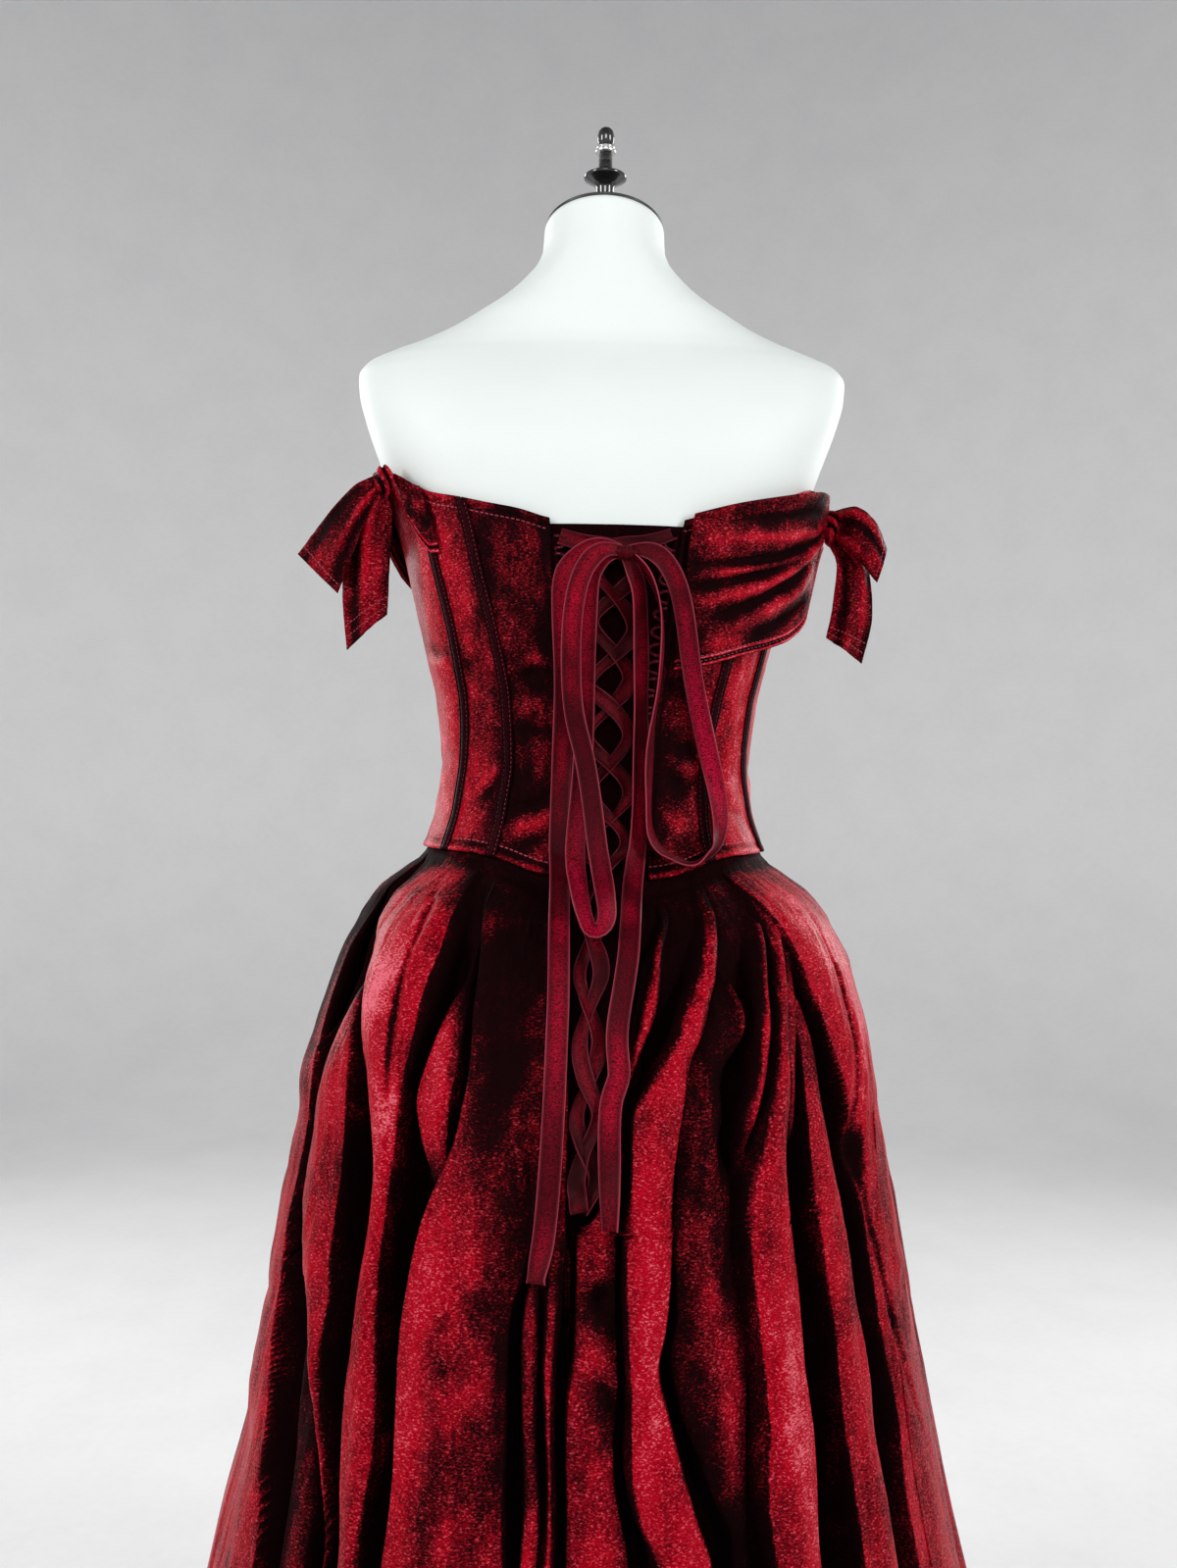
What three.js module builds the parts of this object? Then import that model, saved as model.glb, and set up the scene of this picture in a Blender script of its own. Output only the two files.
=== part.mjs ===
// A-line prom dress on its dress form: off-shoulder corset bodice, laced at the
// centre back, and a full gathered floor-length skirt.
// Millimetres, +Z up.  The laced back faces -Y, the front of the gown faces +Y.
// The origin is the middle of the underside of the stand's base.
//
// Angles round the body are in degrees from the centre back, positive towards
// +X, so 90 is the right side, 180 the centre front and -90 the left side.

import * as THREE from 'three';

// ---------------------------------------------------------------- dimensions
const SEAM_GAP = 0.3;          // air between two pieces at a seam
const LAYER_GAP = 0.3;         // air between a piece and what lies on it

const PANEL_WALL = 1.6;        // boned velvet of the bodice
const PANEL_EASE = 2.3;        // bodice stands this far off the form
const EDGE_FLARE = 3.2;        // extra ease at the bodice's bottom edge
const MODESTY_WALL = 1.0;
const MODESTY_EASE = 0.7;
const CHANNEL_WIDTH = 8.4;     // boning channel
const CHANNEL_WALL = 1.1;
const LOOP_TAPE_REACH = 12;    // button-loop tape along each laced edge
const SKIRT_WALL = 2.0;
const DRAPE_WALL = 1.4;
const RIBBON_WIDTH = 14;
const RIBBON_WALL = 1.0;
const LACE_WIDTH = 11;

const POLE_RADIUS = 14;
const BASE_RADIUS = 175;
const BASE_THICK = 12;

// ------------------------------------------------------------- short tables
// Dress form: section at each height.
const TORSO = table('z half back front power', [
  [800, 150, 100, 95, 2.2],
  [850, 166, 118, 103, 2.2],
  [900, 158, 110, 102, 2.2],
  [940, 142, 97, 97, 2.2],
  [977, 124, 88, 91, 2.2],
  [1007, 117.8, 82, 86, 2.2],
  [1038, 115.6, 79, 83, 2.2],
  [1083, 120, 82, 87, 2.2],
  [1106, 125, 86, 93, 2.2],
  [1139, 133, 91, 101, 2.2],
  [1168, 140, 94, 109, 2.2],
  [1200, 147.5, 96.5, 113, 2.25],
  [1230, 157.5, 96, 111.5, 2.35],
  [1264, 169.5, 94, 104, 2.55],
  [1299, 182, 84, 88, 2.6],
  [1322, 188, 73, 76, 2.5],
  [1336, 189, 64, 66, 2.4],
  [1346, 183, 57, 58, 2.3],
  [1354, 168, 52, 53, 2.2],
  [1364, 143, 49, 50, 2.1],
  [1376, 118, 48, 48, 2.0],
  [1388, 98, 47.5, 47, 2.0],
  [1400, 79, 47, 47, 2.0],
  [1413, 62.7, 47, 47, 2.0],
  [1425, 52, 47.5, 46.8, 2.0],
  [1436, 47.8, 46.8, 46.5, 2.0],
  [1452, 46.7, 46.7, 46.5, 2.0],
]);

// Lines of the bodice's back, by height.
const SEAMS = table('z gapL gapR backL backR sideL sideR', [
  [950, -10.3, 15.5, -33.0, 37.0, -53.5, 75.0],
  [1000, -10.4, 17.8, -32.6, 38.8, -54.5, 71.0],
  [1040, -10.5, 19.0, -31.0, 40.2, -52.3, 66.5],
  [1080, -10.6, 20.0, -31.0, 43.4, -50.0, 66.0],
  [1130, -11.0, 21.0, -32.6, 45.5, -49.8, 67.5],
  [1190, -12.8, 21.8, -36.0, 47.0, -52.0, 68.0],
  [1245, -13.2, 24.0, -36.8, 48.0, -50.6, 68.0],
]);
const SIDE_SEAM = 98;
const FRONT_SEAM = 142;

// Top and bottom edges of the bodice, by angle from the centre back.
const TOP_EDGE = table('angle z', [
  [0, 1205], [18, 1212], [26, 1219], [34, 1224], [41, 1229], [49, 1234],
  [56, 1242], [66, 1247], [90, 1250], [120, 1256], [150, 1262], [180, 1252],
]);
const BOTTOM_EDGE = table('angle z', [
  [0, 955], [13, 956.5], [18, 958], [24, 961.5], [35, 969], [47, 972.5],
  [60, 973], [90, 974], [130, 971], [180, 962],
]);
// The back opening sits this far round from the form's own centre back.
const OPENING_TURN = 5;

// Skirt: section at each height, at the foot of its folds.
const SKIRT = table('z half back front', [
  [15, 352, 366, 330],
  [240, 308, 321, 287],
  [457, 266, 278, 248],
  [600, 239, 248, 220],
  [745, 217, 222, 198],
  [820, 208, 208, 188],
  [880, 192, 186, 170],
  [918, 177, 165, 155],
  [942, 161, 139, 136],
  [953, 147, 121, 119],
  [962, 136, 104, 104],
]);
const SKIRT_LEVELS = [985, 971, 962, 948, 920, 880, 820, 745, 600, 320, 15];

// Folds of the skirt: the angle of the crest at five heights, and how far it
// stands out at four of them.
const FOLD_LEVELS = [960, 880, 745, 600, 15];
const FOLDS = table('name a960 a880 a745 a600 a15 h880 h745 h600 h15', [
  ['left_edge', -76, -73, -70, -73, -74, 8, 12, 14, 22],
  ['left_one', -66, -61, -54, -59, -60, 5, 14, 16, 24],
  ['left_puff', -52, -44.5, -37.5, -34, -32, 19, 14, 16, 24],
  ['left_short', -37, -31, -27.5, -26, -25, 10, 3, 1, 1],
  ['left_broad', -21, -19, -17.5, -19, -19, 7, 12, 16, 26],
  ['right_broad', 32, 17, 10.5, 12, 16, 9, 14, 17, 24],
  ['right_short', 43, 34, 22, 21, 22, 9, 2, 2, 3],
  ['right_one', 51, 41, 32.5, 33, 33, 10, 14, 17, 24],
  ['right_puff', 61, 56, 52, 50, 50, 18, 12, 15, 22],
  ['right_edge', 74, 71, 67, 66, 66, 8, 14, 17, 24],
  ['right_side', 88, 86, 84, 83, 83, 12, 13, 16, 24],
  ['side_front_r', 102, 101, 100, 101, 101, 12, 16, 18, 26],
  ['front_r3', 117, 118, 118, 119, 119, 12, 13, 16, 24],
  ['front_r2', 134, 136, 137, 138, 138, 12, 15, 18, 26],
  ['front_r1', 153, 154, 155, 157, 157, 12, 14, 16, 24],
  ['front_mid', 172, 174, 175, 177, 178, 11, 12, 15, 23],
  ['front_l1', 194, 195, 195, 197, 198, 12, 15, 18, 26],
  ['front_l2', 213, 213, 215, 217, 217, 12, 14, 16, 24],
  ['front_l3', 232, 232, 234, 236, 236, 12, 15, 18, 25],
  ['side_front_l', 251, 251, 252, 253, 252, 12, 13, 16, 24],
  ['left_side', 268, 269, 271, 270, 270, 12, 15, 17, 25],
]);

// Placket and centre-back seam of the skirt, by height.
const PLACKET_END = 745;
const PLACKET = table('z left right', [
  [745, -3.5, -3.5],
  [752, -3.0, 0.3],
  [783, -2.6, 3.9],
  [860, -3.0, 5.0],
  [920, -4.0, 5.8],
  [955, -6.6, 10.0],
  [985, -10.2, 15.4],
]);
const CB_SEAM = table('z angle', [[15, -3.6], [600, -3.5], [745, -3.5]]);

// Middle of the lacing, by height.
const LACE_LINE = table('z x', [
  [745, -4], [800, -1.5], [880, -1.5], [930, 1], [960, 5], [1000, 8], [1200, 12],
]);

// ------------------------------------------------------------------- helpers
function table(columns, rows) {
  const names = columns.split(' ');
  return rows.map((row) => Object.fromEntries(names.map((n, i) => [n, row[i]])));
}

// Smooth curve with no overshoot through one column of a table.
function curve(rows, key, col) {
  const x = rows.map((r) => r[key]);
  const y = rows.map((r) => r[col]);
  const n = x.length;
  const d = x.slice(1).map((v, i) => (y[i + 1] - y[i]) / (v - x[i]));
  const m = x.map((_, i) => {
    if (i === 0) return d[0];
    if (i === n - 1) return d[n - 2];
    return d[i - 1] * d[i] <= 0 ? 0 : (2 * d[i - 1] * d[i]) / (d[i - 1] + d[i]);
  });
  return (v) => {
    if (v <= x[0]) return y[0];
    if (v >= x[n - 1]) return y[n - 1];
    let i = 0;
    while (v > x[i + 1]) i += 1;
    const h = x[i + 1] - x[i];
    const t = (v - x[i]) / h;
    return (1 + 2 * t) * (1 - t) ** 2 * y[i] + t * (1 - t) ** 2 * h * m[i]
      + t * t * (3 - 2 * t) * y[i + 1] + t * t * (t - 1) * h * m[i + 1];
  };
}
const lerp = (a, b, t) => a + (b - a) * t;
const ramp = (a, b, v) => {
  const t = Math.min(1, Math.max(0, (v - a) / (b - a)));
  return t * t * (3 - 2 * t);
};
const rad = (deg) => (deg * Math.PI) / 180;
const fold180 = (deg) => {
  const a = Math.abs(((((deg + 180) % 360) + 360) % 360) - 180);
  return a;
};

// A closed body from rings or rows of points: an outer and an inner face and
// the rims between them.  The point functions take whole-number i and j.
function wall(nu, nv, outer, inner, closed = false) {
  const pos = [];
  const idx = [];
  const cols = closed ? nu : nu + 1;
  for (const face of [outer, inner]) {
    for (let j = 0; j <= nv; j += 1) for (let i = 0; i < cols; i += 1) pos.push(...face(i, j));
  }
  const at = (side, i, j) => side * cols * (nv + 1) + j * cols + (closed ? i % nu : i);
  const quad = (a, b, c, d) => idx.push(a, b, c, a, c, d);
  for (let j = 0; j < nv; j += 1) {
    for (let i = 0; i < nu; i += 1) {
      quad(at(0, i, j), at(0, i + 1, j), at(0, i + 1, j + 1), at(0, i, j + 1));
      quad(at(1, i, j), at(1, i, j + 1), at(1, i + 1, j + 1), at(1, i + 1, j));
    }
  }
  for (let i = 0; i < nu; i += 1) {
    quad(at(0, i, 0), at(1, i, 0), at(1, i + 1, 0), at(0, i + 1, 0));
    quad(at(0, i, nv), at(0, i + 1, nv), at(1, i + 1, nv), at(1, i, nv));
  }
  if (!closed) {
    for (let j = 0; j < nv; j += 1) {
      quad(at(0, 0, j), at(0, 0, j + 1), at(1, 0, j + 1), at(1, 0, j));
      quad(at(0, nu, j), at(1, nu, j), at(1, nu, j + 1), at(0, nu, j + 1));
    }
  }
  return solid(pos, idx);
}

// A closed body from a stack of rings, capped at both ends.
function stack(rings) {
  const n = rings[0].length;
  const pos = rings.flat(2);
  const idx = [];
  for (let j = 0; j + 1 < rings.length; j += 1) {
    for (let i = 0; i < n; i += 1) {
      const a = j * n + i;
      const b = j * n + ((i + 1) % n);
      idx.push(a, b, b + n, a, b + n, a + n);
    }
  }
  for (const [j, flip] of [[0, true], [rings.length - 1, false]]) {
    const c = pos.length / 3;
    const mid = [0, 0, 0];
    for (const p of rings[j]) for (let k = 0; k < 3; k += 1) mid[k] += p[k] / n;
    pos.push(...mid);
    for (let i = 0; i < n; i += 1) {
      const a = j * n + i;
      const b = j * n + ((i + 1) % n);
      idx.push(...(flip ? [c, b, a] : [c, a, b]));
    }
  }
  return solid(pos, idx);
}

// Faces are turned outward by the sign of the volume.
function solid(pos, idx) {
  let volume = 0;
  const p = (k) => new THREE.Vector3(pos[3 * k], pos[3 * k + 1], pos[3 * k + 2]);
  for (let k = 0; k < idx.length; k += 3) {
    volume += p(idx[k]).dot(p(idx[k + 1]).cross(p(idx[k + 2])));
  }
  if (volume < 0) for (let k = 0; k < idx.length; k += 3) [idx[k], idx[k + 1]] = [idx[k + 1], idx[k]];
  const g = new THREE.BufferGeometry();
  g.setAttribute('position', new THREE.Float32BufferAttribute(pos, 3));
  g.setIndex(idx);
  g.computeVertexNormals();
  return g;
}

// A flat ribbon along points {x, z, lift, roll}.  place(x, z, lift) gives the
// point that far above what the ribbon hangs over; roll turns the ribbon from
// lying on it (0) to standing on edge (90).
function ribbon(path, place, width, thick) {
  const pts = path.map((r) => new THREE.Vector3(...place(r.x, r.z, r.lift)));
  const rows = pts.map((p, i) => {
    const along = pts[Math.min(i + 1, pts.length - 1)].clone()
      .sub(pts[Math.max(i - 1, 0)]).normalize();
    const r = path[i];
    const out = new THREE.Vector3(...place(r.x, r.z, r.lift + 1)).sub(p).normalize();
    out.addScaledVector(along, -out.dot(along)).normalize();
    const side = new THREE.Vector3().crossVectors(along, out).normalize();
    const a = rad(r.roll ?? 0);
    const w = side.clone().multiplyScalar(Math.cos(a)).addScaledVector(out, Math.sin(a));
    const n = out.clone().multiplyScalar(Math.cos(a)).addScaledVector(side, -Math.sin(a));
    const half = (width * (r.wide ?? 1)) / 2;
    return [-1, 1].map((s) => [1, -1].map((f) => p.clone()
      .addScaledVector(w, s * half).addScaledVector(n, (f * thick) / 2).toArray()));
  });
  return wall(1, pts.length - 1, (i, j) => rows[j][i][0], (i, j) => rows[j][i][1]);
}

// Smooth points at n + 1 even steps through a short path table.
function resample(rows, cols, n) {
  const keyed = rows.map((r, i) => ({ ...r, k: i }));
  const f = cols.map((c) => curve(keyed, 'k', c));
  return Array.from({ length: n + 1 }, (_, i) => {
    const k = (i * (rows.length - 1)) / n;
    return Object.fromEntries(cols.map((c, q) => [c, f[q](k)]));
  });
}

// -------------------------------------------------------------- body surface
const torsoAt = Object.fromEntries(['half', 'back', 'front', 'power']
  .map((c) => [c, curve(TORSO, 'z', c)]));
const skirtAt = Object.fromEntries(['half', 'back', 'front']
  .map((c) => [c, curve(SKIRT, 'z', c)]));

function section(angle, z, half, back, front, power, off) {
  const s = Math.sin(rad(angle));
  const c = Math.cos(rad(angle));
  const r = 1 / (Math.abs(s) ** power + Math.abs(c) ** power) ** (1 / power);
  return [(half + off) * r * s, -((c > 0 ? back : front) + off) * r * c, z];
}
const torso = (angle, z, off) => section(angle, z, torsoAt.half(z), torsoAt.back(z),
  torsoAt.front(z), torsoAt.power(z), off);

const seamAt = Object.fromEntries(['gapL', 'gapR', 'backL', 'backR', 'sideL', 'sideR']
  .map((c) => [c, curve(SEAMS, 'z', c)]));
const topEdge = curve(TOP_EDGE, 'angle', 'z');
const bottomEdge = curve(BOTTOM_EDGE, 'angle', 'z');
const fromOpening = (angle) => fold180(angle - OPENING_TURN * Math.max(0, Math.cos(rad(angle))));
const topZ = (angle) => topEdge(fromOpening(angle));
const bottomZ = (angle) => bottomEdge(fromOpening(angle));

const panelIn = (angle, z) => PANEL_EASE
  + EDGE_FLARE * (1 - ramp(bottomZ(angle) - 2, bottomZ(angle) + 34, z));
const panelOut = (angle, z) => panelIn(angle, z) + PANEL_WALL;

// Degrees round the body that one millimetre takes at this place.
function degPerMm(angle, z, off) {
  const a = torso(angle - 0.5, z, off);
  const b = torso(angle + 0.5, z, off);
  return 1 / Math.hypot(b[0] - a[0], b[1] - a[1]);
}

// A patch of the bodice between two lines round the body.
function bodicePatch(nu, nv, left, right, zLow, zHigh, offIn, offOut, gap = SEAM_GAP) {
  const place = (off) => (i, j) => {
    const u = i / nu;
    const lowAngle = lerp(left(965), right(965), u);
    const highAngle = lerp(left(1235), right(1235), u);
    const z = lerp(zLow(lowAngle), zHigh(highAngle), j / nv);
    const l = left(z) + (gap / 2) * degPerMm(left(z), z, 3);
    const r = right(z) - (gap / 2) * degPerMm(right(z), z, 3);
    const angle = lerp(l, r, u);
    return torso(angle, z, off(angle, z));
  };
  return wall(nu, nv, place(offOut), place(offIn));
}

// -------------------------------------------------------------------- skirt
const foldAngle = FOLDS.map((f) => curve(FOLD_LEVELS
  .map((z) => ({ z, v: f[`a${z}`] })).reverse(), 'z', 'v'));
const foldHeight = FOLDS.map((f) => curve([
  { z: 15, v: f.h15 }, { z: 600, v: f.h600 }, { z: 745, v: f.h745 },
  { z: 880, v: f.h880 }, { z: 945, v: 4 }, { z: 962, v: 1.5 }, { z: 972, v: 0 },
], 'z', 'v'));
const wrap = (k) => (k + FOLDS.length) % FOLDS.length;
const turns = (k) => Math.floor(k / FOLDS.length) * 360;
const crest = (k, z) => foldAngle[wrap(k)](z) + turns(k);
const valley = (k, z) => (crest(k, z) + crest(k + 1, z)) / 2;
const placketAt = { left: curve(PLACKET, 'z', 'left'), right: curve(PLACKET, 'z', 'right') };
const seamAngle = curve(CB_SEAM, 'z', 'angle');
const BACK_LEFT_FOLD = FOLDS.findIndex((f) => f.name === 'left_broad');

// How far the cloth stands out of the foot of its folds.
function foldOut(angle, z) {
  for (let k = -2; k < FOLDS.length + 2; k += 1) {
    const a = crest(k, z);
    const b = crest(k + 1, z);
    if (angle >= a && angle <= b) {
      const mid = k === BACK_LEFT_FOLD ? seamAngle(z) : valley(k, z);
      const left = angle <= mid;
      const u = left ? (angle - a) / (mid - a) : (b - angle) / (b - mid);
      const h = foldHeight[wrap(left ? k : k + 1)](z);
      return h * (0.5 * (1 - u * u) + 0.25 * (1 + Math.cos(Math.PI * u)));
    }
  }
  return 0;
}
// level is the height at the sides; the top follows the bodice's bottom edge.
function skirtPoint(angle, level, inward) {
  const dip = (973 - bottomZ(angle)) * ramp(800, 940, level);
  const z = level - dip;
  if (level > 966) return torso(angle, z, 3.6 - Math.min(inward, 1.4));
  const h = foldOut(angle, level) - inward;
  return section(angle, z, skirtAt.half(level), skirtAt.back(level),
    skirtAt.front(level), 2.1, h);
}
// Lines down the skirt between two valleys: flank, crest, flank and valley of
// each fold between them.
function foldLines(first, last) {
  const lines = [];
  for (let k = first; k <= last; k += 1) {
    lines.push((z) => lerp(valley(k - 1, z), crest(k, z), 0.5), (z) => crest(k, z),
      (z) => lerp(crest(k, z), valley(k, z), 0.5));
    if (k < last) lines.push((z) => valley(k, z));
  }
  return lines;
}
function skirtPanel(lines) {
  const n = lines.length - 1;
  const m = SKIRT_LEVELS.length - 1;
  const place = (inward) => (i, j) => {
    const z = SKIRT_LEVELS[m - j];
    let angle = lines[i](z);
    const half = (SEAM_GAP / 2) * (57.3 / (skirtAt.half(z) * 0.9));
    if (i === 0) angle += half;
    if (i === n) angle -= half;
    return skirtPoint(angle, z, inward);
  };
  return wall(n, m, place(0), place(SKIRT_WALL));
}

// Surface that the ribbons hang over at the back: the form and bodice down to
// the bodice's bottom edge, and the skirt below it.
function backSurface(x, z) {
  const onBody = (zz, off) => {
    const half = torsoAt.half(zz) + off;
    const s = Math.min(0.999, Math.abs(x) / half);
    const p = torsoAt.power(zz);
    return -(torsoAt.back(zz) + off) * (1 - s ** p) ** (1 / p);
  };
  const onSkirt = (zz) => {
    const level = zz + 15 * ramp(800, 940, zz);
    const half = skirtAt.half(level);
    const s = Math.min(0.999, Math.abs(x) / half);
    const h = foldOut((Math.asin(s) * 57.3) * Math.sign(x), level);
    return -(skirtAt.back(level) + Math.max(0, h)) * (1 - s ** 2.1) ** (1 / 2.1);
  };
  const t = ramp(930, 972, z);
  const y = lerp(onSkirt(Math.min(z, 948)), onBody(Math.max(z, 940), 0), t);
  return [x, y, z];
}
// A point this far off that surface: square to it at first, then straight back.
const SQUARE_LIFT = 8;
function backPlace(x, z, lift) {
  const p = backSurface(x, z);
  const l = backSurface(x - 1, z);
  const r = backSurface(x + 1, z);
  const d = backSurface(x, z - 3);
  const u = backSurface(x, z + 3);
  const n = new THREE.Vector3(r[0] - l[0], r[1] - l[1], 0)
    .cross(new THREE.Vector3(0, u[1] - d[1], u[2] - d[2])).normalize();
  const square = Math.min(lift, SQUARE_LIFT);
  return [p[0] + n.x * square, p[1] + n.y * square - (lift - square), p[2] + n.z * square];
}

// -------------------------------------------------------------------- colours
const material = (color, roughness, metalness = 0) =>
  new THREE.MeshStandardMaterial({ color, roughness, metalness });
const VELVET = 0x7a0a1e;
const RIBBON = 0x8c0f2a;
const DARK_VELVET = 0x33040c;
const LINEN = 0xf2f2ee;
const BLACK = 0x101010;
const SILVER = 0xb9b9b9;

const dress = new THREE.Group();
dress.name = 'prom_dress_on_form';
const add = (name, geometry, mat, parent = dress) => {
  const mesh = new THREE.Mesh(geometry, mat);
  mesh.name = name;
  parent.add(mesh);
  return mesh;
};

// ------------------------------------------------------------- dress form
const stand = new THREE.Group();
dress.add(stand);
const FORM_SIDES = 36;
const neckTilt = curve([{ z: 1402, v: 0 }, { z: 1425, v: 4 }, { z: 1452, v: 12 }], 'z', 'v');
const formRing = (z, off = 0, lift = 0) => Array.from({ length: FORM_SIDES }, (_, i) => {
  const angle = (360 * i) / FORM_SIDES;
  const p = torso(angle, z, off);
  const reach = (torsoAt.half(z) + off) / torsoAt.half(z);
  return [p[0], p[1], p[2] + neckTilt(z) * reach * Math.cos(rad(angle)) + lift];
});
const WAIST_RINGS = [960, 992, 1022, 1053, 1068];
const FORM_RINGS = [...TORSO.map((r) => r.z), ...WAIST_RINGS].sort((a, b) => a - b);
add('form_body', stack(FORM_RINGS.map((z) => formRing(z))), material(LINEN, 0.8), stand);

const CAP_THICK = 3;
add('form_neck_cap', stack([
  formRing(1452, -1.5, 0.3), formRing(1452, 0, 0.9), formRing(1452, 0, CAP_THICK - 0.6),
  formRing(1452, -1.5, CAP_THICK),
]), material(BLACK, 0.35), stand);

// Turned finial: radius at each height above the middle of the cap.
const FINIAL = table('radius up', [
  [8.6, 0], [8.6, 8], [7.4, 12], [7.0, 34], [9.5, 37], [16.8, 41], [16.8, 43],
  [9.0, 46], [5.4, 49], [5.2, 60.4],
]);
const KNOB = table('radius up', [
  [5.2, 67.4], [6.6, 69.5], [6.8, 74], [5.8, 78.5], [3.2, 81], [0.6, 81.6],
]);
const FINIAL_FOOT = 1452 + CAP_THICK + 0.3;
const turned = (rows, tilt) => stack(rows.map((r, j) => Array.from({ length: 20 }, (_, i) => {
  const a = (2 * Math.PI * i) / 20;
  const lean = j === 0 ? tilt * r.radius * Math.cos(a) : 0;
  return [r.radius * Math.sin(a), -r.radius * Math.cos(a), FINIAL_FOOT + r.up + lean];
})));
add('form_finial', turned(FINIAL, 12 / 46.7), material(BLACK, 0.2), stand);
add('form_finial_ring', turned(table('radius up', [
  [5.6, 60.7], [8.1, 61.4], [8.1, 63.2], [6.4, 64.4], [7.2, 65.4], [6.2, 66.8], [5.0, 67.1],
]), 0), material(SILVER, 0.25, 1), stand);
add('form_finial_knob', turned(KNOB, 0), material(BLACK, 0.25), stand);

const pole = new THREE.CylinderGeometry(POLE_RADIUS, POLE_RADIUS, 760 - BASE_THICK - 26.3, 24);
pole.rotateX(Math.PI / 2);
add('form_pole', pole, material(SILVER, 0.35, 1), stand).position.z = (760 + BASE_THICK + 26.3) / 2;
const lathe = (rows, sides) => {
  const g = new THREE.LatheGeometry(rows.map((r) => new THREE.Vector2(r.radius, r.up)), sides);
  g.rotateX(Math.PI / 2);
  return g;
};
add('form_socket', lathe(table('radius up', [
  [0, 760.3], [30, 760.3], [34, 763], [34, 796], [30, 799.7], [0, 799.7],
]), 24), material(BLACK, 0.4), stand);
add('form_base', lathe(table('radius up', [
  [0, 0], [BASE_RADIUS, 0], [BASE_RADIUS, 6], [BASE_RADIUS - 8, BASE_THICK],
  [34, BASE_THICK], [26, BASE_THICK + 4], [22, BASE_THICK + 26], [0, BASE_THICK + 26],
]), 40), material(BLACK, 0.4), stand);

// ------------------------------------------------------------------ bodice
const bodice = new THREE.Group();
dress.add(bodice);
const velvet = () => material(VELVET, 0.55);
const PANEL_ROWS = 9;
const fixed = (v) => () => v;
const PANELS = table('name left right columns', [
  ['bodice_back_center_L', seamAt.backL, seamAt.gapL, 4],
  ['bodice_back_center_R', seamAt.gapR, seamAt.backR, 4],
  ['bodice_back_side_L', seamAt.sideL, seamAt.backL, 4],
  ['bodice_back_side_R', seamAt.backR, seamAt.sideR, 4],
  ['bodice_side_L', fixed(-SIDE_SEAM), seamAt.sideL, 6],
  ['bodice_side_R', seamAt.sideR, fixed(SIDE_SEAM), 5],
  ['bodice_front_side_L', fixed(-FRONT_SEAM), fixed(-SIDE_SEAM), 5],
  ['bodice_front_side_R', fixed(SIDE_SEAM), fixed(FRONT_SEAM), 5],
  ['bodice_front_center', fixed(FRONT_SEAM), fixed(360 - FRONT_SEAM), 7],
]);
for (const p of PANELS) {
  add(p.name, bodicePatch(p.columns, PANEL_ROWS, p.left, p.right, bottomZ, topZ, panelIn, panelOut),
    velvet(), bodice);
}
const modestyEdge = (low, high) => (z) => lerp(low, high, ramp(970, 1040, z));
add('modesty_panel', bodicePatch(5, 15, modestyEdge(-9.5, -24), modestyEdge(14.5, 34), fixed(953), fixed(1208),
  () => MODESTY_EASE, () => MODESTY_EASE + MODESTY_WALL), material(DARK_VELVET, 0.8), bodice);

// Boning channels lie on the seams of the back.
const CHANNELS = table('name line', [
  ['channel_back_L', 'backL'], ['channel_back_R', 'backR'],
  ['channel_side_L', 'sideL'], ['channel_side_R', 'sideR'],
]);
for (const c of CHANNELS) {
  const edge = (s) => (z) => seamAt[c.line](z)
    + s * (CHANNEL_WIDTH / 2) * degPerMm(seamAt[c.line](z), z, 4);
  add(c.name, bodicePatch(2, PANEL_ROWS, edge(-1), edge(1), (a) => bottomZ(a) + 0.4, (a) => topZ(a) - 1,
    (a, z) => panelOut(a, z) + LAYER_GAP, (a, z) => panelOut(a, z) + LAYER_GAP + CHANNEL_WALL, 0),
  material(DARK_VELVET, 0.7), bodice);
}

// Loop tape stands out of each laced edge, over the modesty panel.
const TAPES = table('name line sign', [['loop_tape_L', 'gapL', 1], ['loop_tape_R', 'gapR', -1]]);
for (const t of TAPES) {
  const at = (reach) => (z) => seamAt[t.line](z) + t.sign * reach * degPerMm(0, z, 3);
  const lines = [at(SEAM_GAP), at(LOOP_TAPE_REACH)];
  if (t.sign < 0) lines.reverse();
  add(t.name, bodicePatch(1, 10, lines[0], lines[1], fixed(974), fixed(1202),
    () => 2.2, () => 3.4, 0), material(RIBBON, 0.6), bodice);
}

// ------------------------------------------------------------------- skirt
const skirt = new THREE.Group();
dress.add(skirt);
const foldNo = (name) => FOLDS.findIndex((f) => f.name === name);
const between = (a, b, t) => (z) => lerp(a(z), b(z), t);
const cbLeft = (z) => (z > PLACKET_END ? placketAt.left(z) : seamAngle(z));
const cbRight = (z) => (z > PLACKET_END ? placketAt.right(z) : seamAngle(z));
const broadL = (z) => crest(foldNo('left_broad'), z);
const broadR = (z) => crest(foldNo('right_broad'), z);
const valleyOf = (k) => (z) => valley(k, z);
const SIDE_L = foldNo('left_edge') - 1;         // valley in front of the left edge fold
const SIDE_R = foldNo('right_edge');
add('skirt_back_L', skirtPanel([
  valleyOf(foldNo('left_edge')),
  ...foldLines(foldNo('left_one'), foldNo('left_broad')).slice(0, -1),
  between(broadL, cbLeft, 0.5), cbLeft,
]), velvet(), skirt);
add('skirt_back_R', skirtPanel([
  cbRight, between(cbRight, broadR, 0.5), broadR,
  ...foldLines(foldNo('right_broad'), foldNo('right_puff')).slice(2),
  valleyOf(foldNo('right_puff')),
]), velvet(), skirt);
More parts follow.
